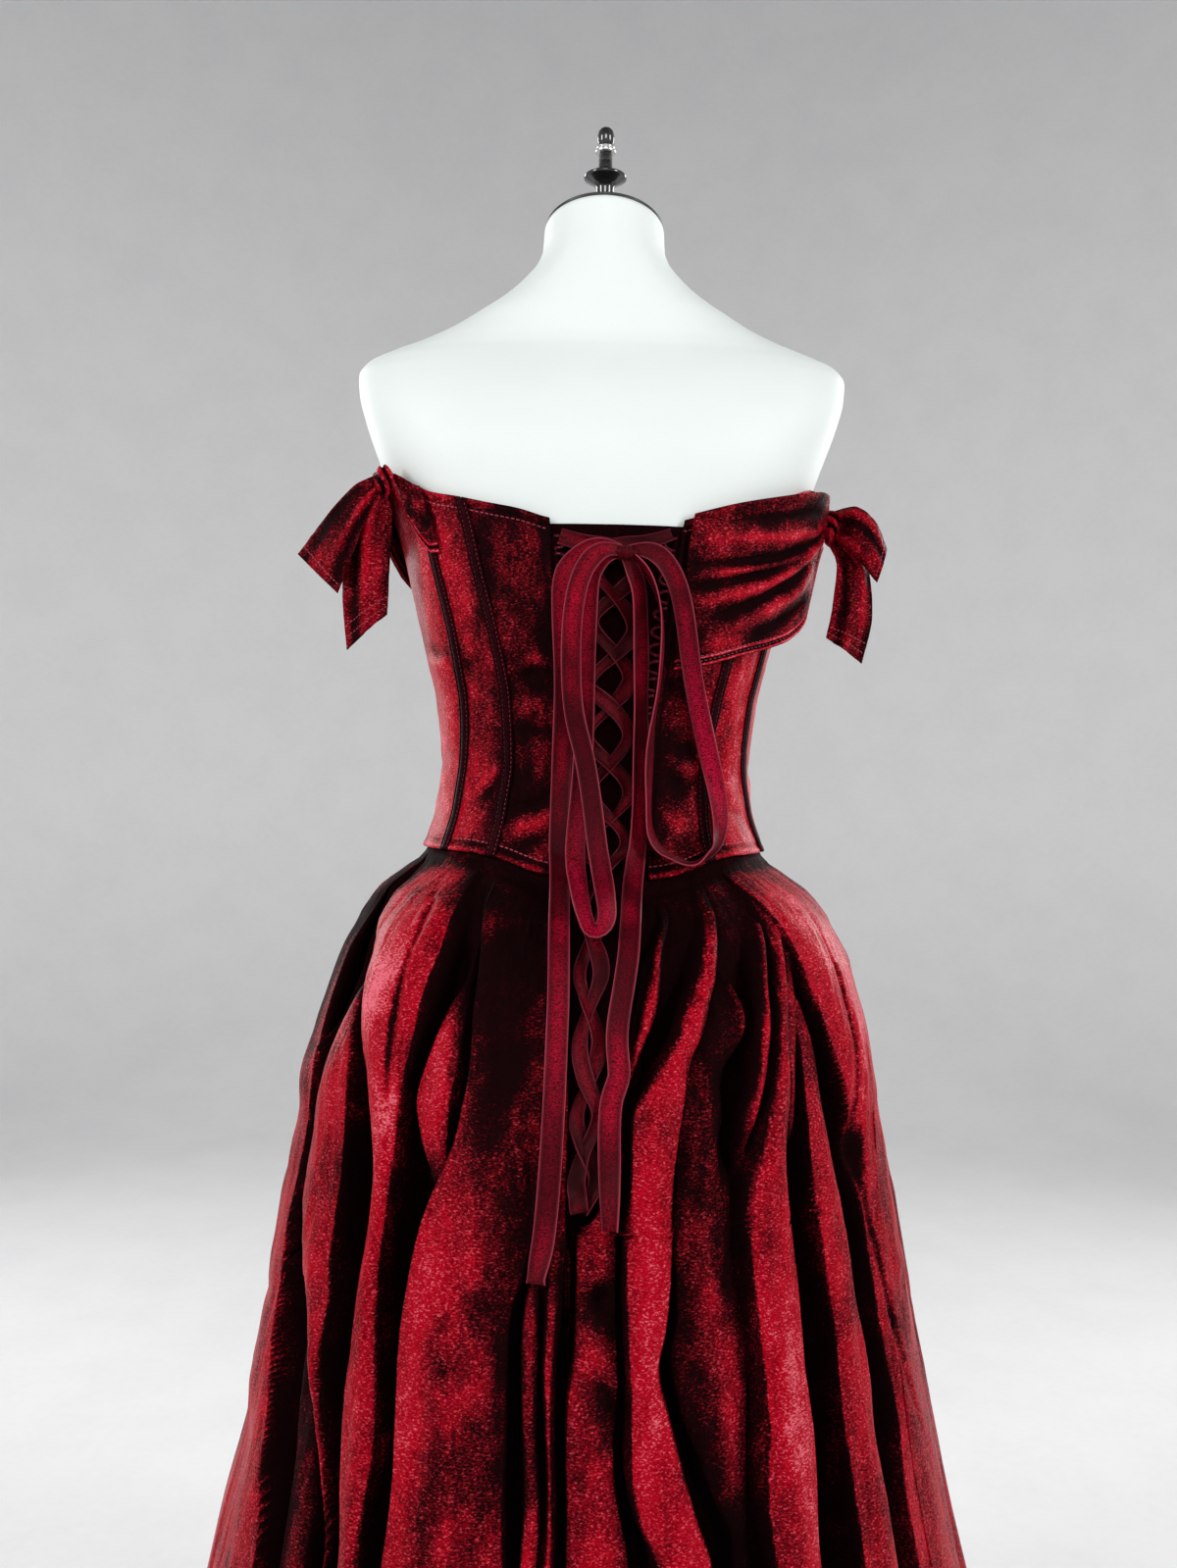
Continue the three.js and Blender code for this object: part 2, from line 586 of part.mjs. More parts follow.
add('skirt_side_L', skirtPanel([
  valleyOf(foldNo('side_front_l') - 1 - FOLDS.length),
  ...foldLines(foldNo('side_front_l') - FOLDS.length, SIDE_L + 1),
  valleyOf(foldNo('left_edge')),
]), velvet(), skirt);
add('skirt_side_R', skirtPanel([
  valleyOf(foldNo('right_puff')),
  ...foldLines(SIDE_R, foldNo('side_front_r')),
  valleyOf(foldNo('side_front_r')),
]), velvet(), skirt);
add('skirt_front', skirtPanel([
  valleyOf(foldNo('side_front_r')),
  ...foldLines(foldNo('front_r3'), foldNo('side_front_l') - 1),
  valleyOf(foldNo('side_front_l') - 1),
]), velvet(), skirt);

// Placket panel behind the laced opening of the skirt.
const PLACKET_DEPTH = table('z in', [[731, 9], [920, 9], [942, 6], [953, 4.2], [962, 3.2]]);
const placketIn = curve(PLACKET_DEPTH, 'z', 'in');
const PLACKET_LEVELS = [731, 745, 790, 820, 850, 880, 920, 942, 953, 962];
const PLACKET_LAP = 5;         // degrees under each side
add('skirt_placket_panel', wall(4, PLACKET_LEVELS.length - 1, ...[0, 1.2].map((depth) => (i, j) => {
  const level = PLACKET_LEVELS[j];
  const angle = lerp(placketAt.left(level) - PLACKET_LAP, placketAt.right(level) + PLACKET_LAP, i / 4);
  const p = section(angle, level, skirtAt.half(level), skirtAt.back(level),
    skirtAt.front(level), 2.1, -placketIn(level) - depth);
  p[2] -= (973 - bottomZ(angle)) * ramp(800, 940, level);
  return p;
})), material(DARK_VELVET, 0.8), skirt);

// --------------------------------------------------------- lacing and bow
const ties = new THREE.Group();
dress.add(ties);
const laceX = curve(LACE_LINE, 'z', 'x');
const LACES = table('name side lift', [['lace_A', 1, 4.4], ['lace_B', -1, 6.4]]);
const LACE_TOP = 1192;
const LACE_FOOT = 752;
const LACE_STEPS = 36;
for (const l of LACES) {
  const path = Array.from({ length: LACE_STEPS + 1 }, (_, i) => {
    const z = lerp(LACE_TOP, LACE_FOOT, i / LACE_STEPS);
    const below = ramp(930, 980, z);
    const reach = lerp(7.5, 15, below);
    const pitch = 40;
    return {
      x: laceX(z) + l.side * reach * Math.sin((Math.PI * (LACE_TOP - z)) / pitch + 0.35),
      z, lift: l.lift - 1.6 * (1 - ramp(930, 972, z)), roll: 0, wide: lerp(0.75, 1, below),
    };
  });
  add(l.name, ribbon(path, backPlace, LACE_WIDTH, 0.9), material(RIBBON, 0.6), ties);
}

const KNOT = { x: 17.6, z: 1187, lift: 13 };
const knotAt = backPlace(KNOT.x, KNOT.z, KNOT.lift);
const ball = (rx, ry, rz, u = 10, v = 6) => {
  const g = new THREE.SphereGeometry(1, u, v);
  g.rotateX(Math.PI / 2);
  g.scale(rx, ry, rz);
  return g;
};
add('bow_knot', ball(10, 5, 5.5), material(RIBBON, 0.6), ties).position.set(...knotAt);

// Hanging ribbons: x, height, lift off what they hang over, and roll.
const BOW = {
  bow_tail_L: [16, table('x z lift roll', [
    [5, 1192, 9, 0], [-7, 1189, 11, 0], [-18, 1181, 11, 0], [-25, 1163, 10, 0],
    [-23, 1110, 9, 0], [-23, 1050, 9, 0], [-24, 990, 9, 0], [-23, 945, 11, 0],
    [-21.5, 905, 9, 0], [-21.5, 860, 7, 0], [-22.5, 800, 7, 0], [-25, 755, 6, 0],
    [-28, 718, 5, 0],
  ])],
  bow_tail_R: [16, table('x z lift roll', [
    [20, 1179, 15, 20], [27, 1165, 14, 35], [29.5, 1140, 11, 40], [31, 1080, 10, 40],
    [31.5, 1010, 9.5, 35], [29, 965, 11, 15], [25, 925, 10, 0], [20.5, 863, 8, 0],
    [18.5, 811, 8, 0], [19.4, 751, 7, 0],
  ])],
  bow_loop_L: [22, table('x z lift roll', [
    [7, 1184, 16, 0], [-4, 1174, 18, 0], [-7, 1150, 17, 0], [-8, 1092, 16, 0],
    [-8.5, 1040, 16, 0], [-11, 1002, 16, 0], [-12.7, 969, 16, 10], [-8.5, 938, 14, 40],
    [0, 921, 14, 75], [9, 926, 19, 50], [8, 945, 23, 15], [3, 975, 25, 0],
    [-2, 1010, 25, 0], [-8, 1045, 25, 0], [-15, 1074, 25, 0], [-17.5, 1110, 25, 0],
    [-16, 1150, 25, 0], [-8, 1177, 24, 0], [5, 1188, 22, 0],
  ])],
  bow_loop_R: [24, table('x z lift roll', [
    [30, 1189, 16, 0], [44, 1183, 18, 0], [55, 1163, 18, 0], [61, 1135, 17, 0],
    [66, 1105, 15, 0], [73, 1070, 14, 0], [80, 1040, 14, 0], [86, 1010, 15, 20],
    [85, 982, 17, 45], [70, 964, 18, 80], [52, 970, 17, 100], [40, 985, 16, 110],
    [37.5, 1010, 17, 110], [38, 1050, 17, 105], [42, 1086, 17, 100], [45, 1120, 17, 100],
    [43, 1150, 17, 98], [34, 1175, 16, 92],
  ])],
};
for (const [name, [steps, rows]] of Object.entries(BOW)) {
  add(name, ribbon(resample(rows, ['x', 'z', 'lift', 'roll'], steps), backPlace,
    RIBBON_WIDTH, RIBBON_WALL), material(RIBBON, 0.6), ties);
}

// --------------------------------------------- off-shoulder drapes and ties
const drapes = new THREE.Group();
dress.add(drapes);
// A patch through columns {angle, top, low, offTop, offLow}: it follows the
// body and stands off it by its own amount at the top and the low edge.
function drape(rows, nv, n, bulge) {
  const cols = resample(rows, ['angle', 'top', 'low', 'offTop', 'offLow'], n);
  const place = (inward) => (i, j) => {
    const c = cols[i];
    const v = j / nv;
    const z = lerp(c.low, c.top, v);
    const pleat = bulge * Math.sin(Math.PI * v * 3) ** 2 * Math.sin((Math.PI * i) / n);
    return torso(c.angle, z, lerp(c.offLow, c.offTop, v) + pleat - inward);
  };
  return wall(n, nv, place(0), place(DRAPE_WALL));
}
const DRAPES = {
  drape_R: [11, 6, 3, table('angle top low offTop offLow', [
    [28, 1220, 1106, 7, 7], [38, 1228, 1112, 8, 8], [48, 1235, 1119, 9, 10],
    [60, 1242, 1126, 10, 14], [70, 1246, 1135, 12, 21], [78, 1247, 1152, 14, 26],
    [84, 1239, 1208, 17, 24],
  ])],
  sleeve_front_R: [8, 4, 2, table('angle top low offTop offLow', [
    [96, 1240, 1208, 17, 24], [104, 1250, 1180, 12, 20], [118, 1258, 1158, 8, 12],
    [134, 1263, 1152, 7, 8], [150, 1264, 1160, 7, 7],
  ])],
  drape_L: [2, 4, 1.5, table('angle top low offTop offLow', [
    [-47.5, 1237, 1190, 8, 8], [-50, 1241, 1190, 8.5, 9], [-52.5, 1246, 1196, 10, 10],
  ])],
  sleeve_front_L: [10, 4, 2, table('angle top low offTop offLow', [
    [-63, 1254, 1222, 9, 14], [-74, 1256, 1204, 9, 16], [-92, 1257, 1188, 8, 14],
    [-114, 1258, 1170, 8, 11], [-132, 1263, 1158, 7, 8], [-150, 1264, 1162, 7, 7],
  ])],
};
for (const [name, [n, nv, bulge, rows]] of Object.entries(DRAPES)) {
  add(name, drape(rows, nv, n, bulge), velvet(), drapes);
}
add('knot_R', ball(11, 15, 15), velvet(), drapes).position.set(184, 0, 1225);
add('knot_L', ball(8, 8, 13), velvet(), drapes).position.set(-159, -66, 1243);

// Ends of the ties: each row is one line across the strip, from one edge to
// the other.
function strip(rows, nu, bow) {
  const steps = 6;
  const cols = resample(rows, ['x1', 'y1', 'z1', 'x2', 'y2', 'z2'], steps);
  const place = (inward) => (i, j) => {
    const c = cols[j];
    const u = i / nu;
    const curl = bow * Math.sin(Math.PI * u) * Math.min(1, j / 2);
    return [lerp(c.x1, c.x2, u), lerp(c.y1, c.y2, u) - curl + inward, lerp(c.z1, c.z2, u)];
  };
  return wall(nu, steps, place(0), place(DRAPE_WALL));
}
const STRIPS = {
  ear_R: [5, table('x1 y1 z1 x2 y2 z2', [
    [189, -15, 1239, 193, -15, 1221], [204, -20, 1236, 202, -20, 1207],
    [217, -21, 1221, 209, -24, 1192], [223, -18, 1206, 214, -21, 1184],
  ])],
  tail_R: [4, table('x1 y1 z1 x2 y2 z2', [
    [187, -14, 1207, 197, -11, 1211], [182, -15, 1194, 213, -12, 1186],
    [180, -14, 1160, 212, -10, 1155], [176, -12, 1139, 206, -8, 1123],
  ])],
  ear_L: [5, table('x1 y1 z1 x2 y2 z2', [
    [-168, -64, 1250, -169, -62, 1238], [-182, -62, 1240, -180, -60, 1220],
    [-207, -54, 1213, -197, -56, 1195], [-225, -46, 1191, -208, -50, 1170],
  ])],
  tail_L: [4, table('x1 y1 z1 x2 y2 z2', [
    [-161, -70, 1229, -170, -66, 1226], [-159, -68, 1214, -191, -60, 1206],
    [-158, -64, 1180, -190, -55, 1165], [-158, -58, 1146, -186, -50, 1120],
  ])],
};
for (const [name, [bow, rows]] of Object.entries(STRIPS)) {
  add(name, strip(rows, 3, bow), velvet(), drapes);
}

export default dress;
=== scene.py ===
# Looks of the velvet gown on its dress form.
# Sizes in the tables are millimetres and degrees in the frame of the model:
# +Z up, laced back facing -Y, angles from the centre back, + towards +X.
import math

import bpy
import numpy as np
from mathutils import Matrix, Vector


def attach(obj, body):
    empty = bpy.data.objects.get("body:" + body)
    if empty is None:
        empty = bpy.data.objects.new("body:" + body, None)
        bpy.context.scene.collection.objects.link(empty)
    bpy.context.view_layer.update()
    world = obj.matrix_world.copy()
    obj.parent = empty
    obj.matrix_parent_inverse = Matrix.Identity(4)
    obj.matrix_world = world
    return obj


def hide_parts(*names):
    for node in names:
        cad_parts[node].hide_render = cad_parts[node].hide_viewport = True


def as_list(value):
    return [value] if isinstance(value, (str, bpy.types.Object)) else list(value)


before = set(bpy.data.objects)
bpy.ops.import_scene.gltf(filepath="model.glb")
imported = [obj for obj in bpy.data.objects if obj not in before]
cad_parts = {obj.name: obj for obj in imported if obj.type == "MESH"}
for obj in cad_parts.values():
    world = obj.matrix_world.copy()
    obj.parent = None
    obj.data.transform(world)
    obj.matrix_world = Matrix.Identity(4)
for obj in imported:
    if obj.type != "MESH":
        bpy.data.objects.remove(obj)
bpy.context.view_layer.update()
MM = 0.001

# ------------------------------------------------------------------ camera
CAM_DIST, CAM_HEIGHT = 1.050, 1.030
cam_data = bpy.data.cameras.new("camera")
cam = bpy.data.objects.new("camera", cam_data)
bpy.context.scene.collection.objects.link(cam)
cam_data.sensor_width = 36.0
cam_data.lens = 36.0 * 1367 / 1599
cam_data.shift_x = -6.5 / 1599
cam_data.shift_y = -9.5 / 1599
cam_data.clip_start, cam_data.clip_end = 0.05, 50
cam.matrix_world = (Matrix.Translation((0, -CAM_DIST, CAM_HEIGHT))
                    @ Matrix.Rotation(math.radians(90), 4, "X")
                    @ Matrix.Rotation(math.radians(1.0), 4, "Z"))
bpy.context.scene.camera = cam


# ------------------------------------------------------------------ helpers
def rows_of(columns, rows):
    a = np.array(rows, float)
    return {n: a[:, i] for i, n in enumerate(columns.split())}


def curve(x, y):
    """Smooth curve with no overshoot, flat past its ends."""
    x, y = np.array(x, float), np.array(y, float)
    n = len(x)
    d = np.diff(y) / np.diff(x)
    m = np.zeros(n)
    m[0], m[-1] = d[0], d[-1]
    for i in range(1, n - 1):
        m[i] = 0 if d[i - 1] * d[i] <= 0 else 2 * d[i - 1] * d[i] / (d[i - 1] + d[i])

    def f(v):
        v = np.clip(np.asarray(v, float), x[0], x[-1])
        i = np.clip(np.searchsorted(x, v, side="right") - 1, 0, n - 2)
        h = x[i + 1] - x[i]
        t = (v - x[i]) / h
        return ((1 + 2 * t) * (1 - t) ** 2 * y[i] + t * (1 - t) ** 2 * h * m[i]
                + t * t * (3 - 2 * t) * y[i + 1] + t * t * (t - 1) * h * m[i + 1])
    return f


def table_curves(columns, rows, key="z"):
    t = rows_of(columns, rows)
    return {n: curve(t[key], t[n]) for n in t if n != key}


def lerp(a, b, t):
    return a + (b - a) * t


def ramp(a, b, v):
    t = np.clip((np.asarray(v, float) - a) / (b - a), 0, 1)
    return t * t * (3 - 2 * t)


def sind(a):
    return np.sin(np.radians(a))


def cosd(a):
    return np.cos(np.radians(a))


def smooth_noise(shape, cells, seed, octaves=3):
    """Soft seeded noise from -1 to 1 on a grid, cells = lumps along each side."""
    r = np.random.RandomState(seed)
    out = np.zeros(shape)
    amp = 1.0
    for o in range(octaves):
        cu, cv = int(cells[0] * 2 ** o) + 3, int(cells[1] * 2 ** o) + 3
        g = r.uniform(-1, 1, (cu, cv))
        u = np.linspace(0, cu - 1.001, shape[0])
        v = np.linspace(0, cv - 1.001, shape[1])
        iu, iv = u.astype(int), v.astype(int)
        fu = (u - iu)
        fv = (v - iv)
        fu, fv = (fu * fu * (3 - 2 * fu))[:, None], (fv * fv * (3 - 2 * fv))[None, :]
        a, b = g[iu][:, iv], g[np.minimum(iu + 1, cu - 1)][:, iv]
        c = g[iu][:, np.minimum(iv + 1, cv - 1)]
        d = g[np.minimum(iu + 1, cu - 1)][:, np.minimum(iv + 1, cv - 1)]
        out += amp * lerp(lerp(a, b, fu), lerp(c, d, fu), fv)
        amp *= 0.5
    return out / 1.4


def normals_of(P):
    """Unit normals of a grid of points, shape (nu, nv, 3)."""
    du = np.gradient(P, axis=0)
    dv = np.gradient(P, axis=1)
    n = np.cross(du, dv)
    return n / np.maximum(np.linalg.norm(n, axis=2, keepdims=True), 1e-9)


def mesh_object(name, verts, faces, attrs=None, mat=None, smooth=True):
    """verts in mm, faces as an (n, 4) or (n, 3) array or a list of both."""
    me = bpy.data.meshes.new(name)
    verts = np.asarray(verts, float).reshape(-1, 3) * MM
    groups = faces if isinstance(faces, list) else [faces]
    groups = [np.asarray(g, np.int64) for g in groups if len(g)]
    loops = np.concatenate([g.ravel() for g in groups])
    sizes = np.concatenate([np.full(len(g), g.shape[1]) for g in groups])
    me.vertices.add(len(verts))
    me.vertices.foreach_set("co", verts.ravel())
    me.loops.add(len(loops))
    me.loops.foreach_set("vertex_index", loops)
    me.polygons.add(len(sizes))
    me.polygons.foreach_set("loop_start", np.concatenate([[0], np.cumsum(sizes)[:-1]]))
    me.polygons.foreach_set("loop_total", sizes)
    me.polygons.foreach_set("use_smooth", np.full(len(sizes), smooth))
    for key, val in (attrs or {}).items():
        a = me.attributes.new(key, "FLOAT", "POINT")
        a.data.foreach_set("value", np.asarray(val, float).ravel())
    me.update(calc_edges=True)
    me.validate()
    ob = bpy.data.objects.new(name, me)
    bpy.context.scene.collection.objects.link(ob)
    if mat is not None:
        me.materials.append(mat)
    return ob


def grid_faces(nu, nv, base=0, flip=False, closed_u=False):
    cols = nu if closed_u else nu - 1
    i = np.arange(cols)[:, None]
    j = np.arange(nv - 1)[None, :]
    a = base + i * nv + j
    b = base + ((i + 1) % nu) * nv + j
    q = np.stack([a, b, b + 1, a + 1], axis=-1).reshape(-1, 4)
    return q[:, ::-1] if flip else q


def open_sheet(name, P, attrs=None, mat=None, turn=1.8, under=3.0, outward=None):
    """One layer of cloth with its raw edges turned in: P is (nu, nv, 3)."""
    N = normals_of(P)
    if outward is not None and np.sum(N * outward) < 0:
        P = P[::-1]
        N = normals_of(P)
        attrs = {k: v[::-1] for k, v in (attrs or {}).items()}
    attrs = {k: np.asarray(v, float) for k, v in (attrs or {}).items()}

    def pad(A):
        return np.pad(A, [(2, 2), (2, 2)] + [(0, 0)] * (A.ndim - 2), mode="edge")
    Q = pad(P)
    M = pad(N)
    nu, nv = Q.shape[:2]
    depth = np.zeros((nu, nv))
    for k, d in ((1, turn), (0, turn * 1.05)):
        depth[k, :] = np.maximum(depth[k, :], d)
        depth[nu - 1 - k, :] = np.maximum(depth[nu - 1 - k, :], d)
        depth[:, k] = np.maximum(depth[:, k], d)
        depth[:, nv - 1 - k] = np.maximum(depth[:, nv - 1 - k], d)
    inner_u = P[1] - P[0]
    inner_u /= np.maximum(np.linalg.norm(inner_u, axis=-1, keepdims=True), 1e-9)
    outer_u = P[-2] - P[-1]
    outer_u /= np.maximum(np.linalg.norm(outer_u, axis=-1, keepdims=True), 1e-9)
    inner_v = P[:, 1] - P[:, 0]
    inner_v /= np.maximum(np.linalg.norm(inner_v, axis=-1, keepdims=True), 1e-9)
    outer_v = P[:, -2] - P[:, -1]
    outer_v /= np.maximum(np.linalg.norm(outer_v, axis=-1, keepdims=True), 1e-9)

    def pad1(A):
        return np.pad(A, [(2, 2), (0, 0)], mode="edge")
    Q = Q - M * depth[..., None]
    Q[0] += pad1(inner_u) * under
    Q[-1] += pad1(outer_u) * under
    Q[:, 0] += pad1(inner_v) * under
    Q[:, -1] += pad1(outer_v) * under
    at = {k: pad(v) for k, v in attrs.items()}
    return mesh_object(name, Q, grid_faces(nu, nv), at, mat)


def shell(name, P, thick, attrs=None, mat=None, closed_u=False, outward=None):
    """A thin closed shell: outer points P (nu, nv, 3) and a face `thick` below."""
    if closed_u:
        E = np.concatenate([P[-1:], P, P[:1]], axis=0)
        N = normals_of(E)[1:-1]
    else:
        N = normals_of(P)
    if outward is not None and np.sum(N * outward) < 0:
        P = P[::-1]
        N = -N[::-1]
        attrs = {k: np.asarray(v)[::-1] for k, v in (attrs or {}).items()}
    nu, nv = P.shape[:2]
    half = thick
    A = P.reshape(-1, 3)
    B = (P - N * half).reshape(-1, 3)
    n = nu * nv
    fs = [grid_faces(nu, nv, 0, False, closed_u), grid_faces(nu, nv, n, True, closed_u)]
    cols = nu if closed_u else nu - 1
    i = np.arange(cols)
    a, b = i * nv, ((i + 1) % nu) * nv
    fs.append(np.stack([a, a + n, b + n, b], 1))
    a, b = i * nv + nv - 1, ((i + 1) % nu) * nv + nv - 1
    fs.append(np.stack([a, b, b + n, a + n], 1))
    if not closed_u:
        j = np.arange(nv - 1)
        fs.append(np.stack([j, j + 1, j + 1 + n, j + n], 1))
        a = (nu - 1) * nv + j
        fs.append(np.stack([a, a + n, a + 1 + n, a + 1], 1))
    at = {k: np.concatenate([np.asarray(v, float).ravel()] * 2) for k, v in (attrs or {}).items()}
    return mesh_object(name, np.concatenate([A, B]), np.concatenate(fs), at, mat)


def path_points(P, step):
    """Even points about `step` apart along a smooth line through P (n, k)."""
    P = np.asarray(P, float)
    k = np.arange(len(P))
    fine = np.linspace(0, len(P) - 1, 60 * len(P))
    Q = np.stack([spline(k, P[:, c])(fine) for c in range(P.shape[1])], 1)
    d = np.concatenate([[0], np.cumsum(np.linalg.norm(np.diff(Q[:, :3], axis=0), axis=1))])
    n = max(3, int(round(d[-1] / step)))
    s = np.linspace(0, d[-1], n + 1)
    return np.stack([np.interp(s, d, Q[:, c]) for c in range(Q.shape[1])], 1)


def spline(x, y):
    """Natural cubic through the points."""
    x, y = np.asarray(x, float), np.asarray(y, float)
    n = len(x)
    if n < 3:
        return lambda v: np.interp(v, x, y)
    h = np.diff(x)
    A = np.eye(n)
    r = np.zeros(n)
    for i in range(1, n - 1):
        A[i, i - 1:i + 2] = h[i - 1], 2 * (h[i - 1] + h[i]), h[i]
        r[i] = 6 * ((y[i + 1] - y[i]) / h[i] - (y[i] - y[i - 1]) / h[i - 1])
    m = np.linalg.solve(A, r)

    def f(v):
        v = np.asarray(v, float)
        i = np.clip(np.searchsorted(x, v, side="right") - 1, 0, n - 2)
        a, b = x[i + 1] - v, v - x[i]
        return ((m[i] * a ** 3 + m[i + 1] * b ** 3) / (6 * h[i])
                + (y[i] / h[i] - m[i] * h[i] / 6) * a + (y[i + 1] / h[i] - m[i + 1] * h[i] / 6) * b)
    return f


def tube(P, radius, sides=8):
    """A round cord along points P (n, 3), closed at both ends."""
    P = np.asarray(P, float)
    T = np.gradient(P, axis=0)
    T /= np.linalg.norm(T, axis=1, keepdims=True)
    up = np.array([0.13, -0.9, 0.41])
    rings = []
    for p, t in zip(P, T):
        u = up - t * up.dot(t)
        u /= np.linalg.norm(u)
        up = u
        w = np.cross(t, u)
        a = np.linspace(0, 2 * np.pi, sides, endpoint=False)
        rings.append(p + radius * (np.cos(a)[:, None] * u + np.sin(a)[:, None] * w))
    V = np.concatenate(rings)
    n = len(P)
    q = []
    for k in range(n - 1):
        i = np.arange(sides)
        q.append(np.stack([k * sides + i, k * sides + (i + 1) % sides,
                           (k + 1) * sides + (i + 1) % sides, (k + 1) * sides + i], 1))
    V = np.concatenate([V, P[:1], P[-1:]])
    i = np.arange(sides)
    c0 = np.stack([np.full(sides, n * sides), (i + 1) % sides, i], 1)
    c1 = np.stack([np.full(sides, n * sides + 1), (n - 1) * sides + i,
                   (n - 1) * sides + (i + 1) % sides], 1)
    return V, [np.concatenate(q), np.concatenate([c0, c1])]


def join_parts(name, parts, mat):
    """One mesh from several (verts, [faces...])."""
    V, Q, T, base = [], [], [], 0
    for v, fs in parts:
        for f in fs:
            (Q if f.shape[1] == 4 else T).append(f + base)
        V.append(v)
        base += len(v)
    groups = []
    if Q:
        groups.append(np.concatenate(Q))
    if T:
        groups.append(np.concatenate(T))
    return mesh_object(name, np.concatenate(V), groups, None, mat)


# ---------------------------------------------------------------- materials
def new_mat(name):
    m = bpy.data.materials.new(name)
    m.use_nodes = True
    nt = m.node_tree
    nt.nodes.clear()
    out = nt.nodes.new("ShaderNodeOutputMaterial")
    bsdf = nt.nodes.new("ShaderNodeBsdfPrincipled")
    nt.links.new(bsdf.outputs[0], out.inputs[0])
    return m, nt, bsdf


def noise(nt, vec, scale, detail=2.0, rough=0.5, stretch=None):
    src = vec
    if stretch is not None:
        mp = nt.nodes.new("ShaderNodeMapping")
        mp.inputs["Scale"].default_value = stretch
        nt.links.new(vec, mp.inputs["Vector"])
        src = mp.outputs[0]
    n = nt.nodes.new("ShaderNodeTexNoise")
    n.inputs["Scale"].default_value = scale
    n.inputs["Detail"].default_value = detail
    n.inputs["Roughness"].default_value = rough
    nt.links.new(src, n.inputs["Vector"])
    return n.outputs["Fac"]


def ramp_node(nt, src, stops):
    r = nt.nodes.new("ShaderNodeValToRGB")
    el = r.color_ramp.elements
    while len(el) < len(stops):
        el.new(0.5)
    for e, (p, c) in zip(el, stops):
        e.position = p
        e.color = (*c, 1) if len(c) == 3 else c
    nt.links.new(src, r.inputs[0])
    return r.outputs[0]


def math_node(nt, op, a, b=None, clamp=False):
    n = nt.nodes.new("ShaderNodeMath")
    n.operation = op
    n.use_clamp = clamp
    for k, v in enumerate((a, b)):
        if v is None:
            continue
        if isinstance(v, (int, float)):
            n.inputs[k].default_value = v
        else:
            nt.links.new(v, n.inputs[k])
    return n.outputs[0]


def mix_color(nt, fac, a, b, mode="MIX"):
    n = nt.nodes.new("ShaderNodeMix")
    n.data_type = "RGBA"
    n.blend_type = mode
    ins = [s for s in n.inputs if s.type == "RGBA"]
    for k, v in ((n.inputs[0], fac), (ins[0], a), (ins[1], b)):
        if isinstance(v, (int, float)):
            k.default_value = v
        elif isinstance(v, tuple):
            k.default_value = (*v, 1) if len(v) == 3 else v
        else:
            nt.links.new(v, k)
    return [s for s in n.outputs if s.type == "RGBA"][0]


def bump(nt, bsdf, height, strength, dist, normal=None):
    b = nt.nodes.new("ShaderNodeBump")
    b.inputs["Strength"].default_value = strength
    b.inputs["Distance"].default_value = dist
    nt.links.new(height, b.inputs["Height"])
    if normal is not None:
        nt.links.new(normal, b.inputs["Normal"])
    nt.links.new(b.outputs[0], bsdf.inputs["Normal"])
    return b.outputs[0]


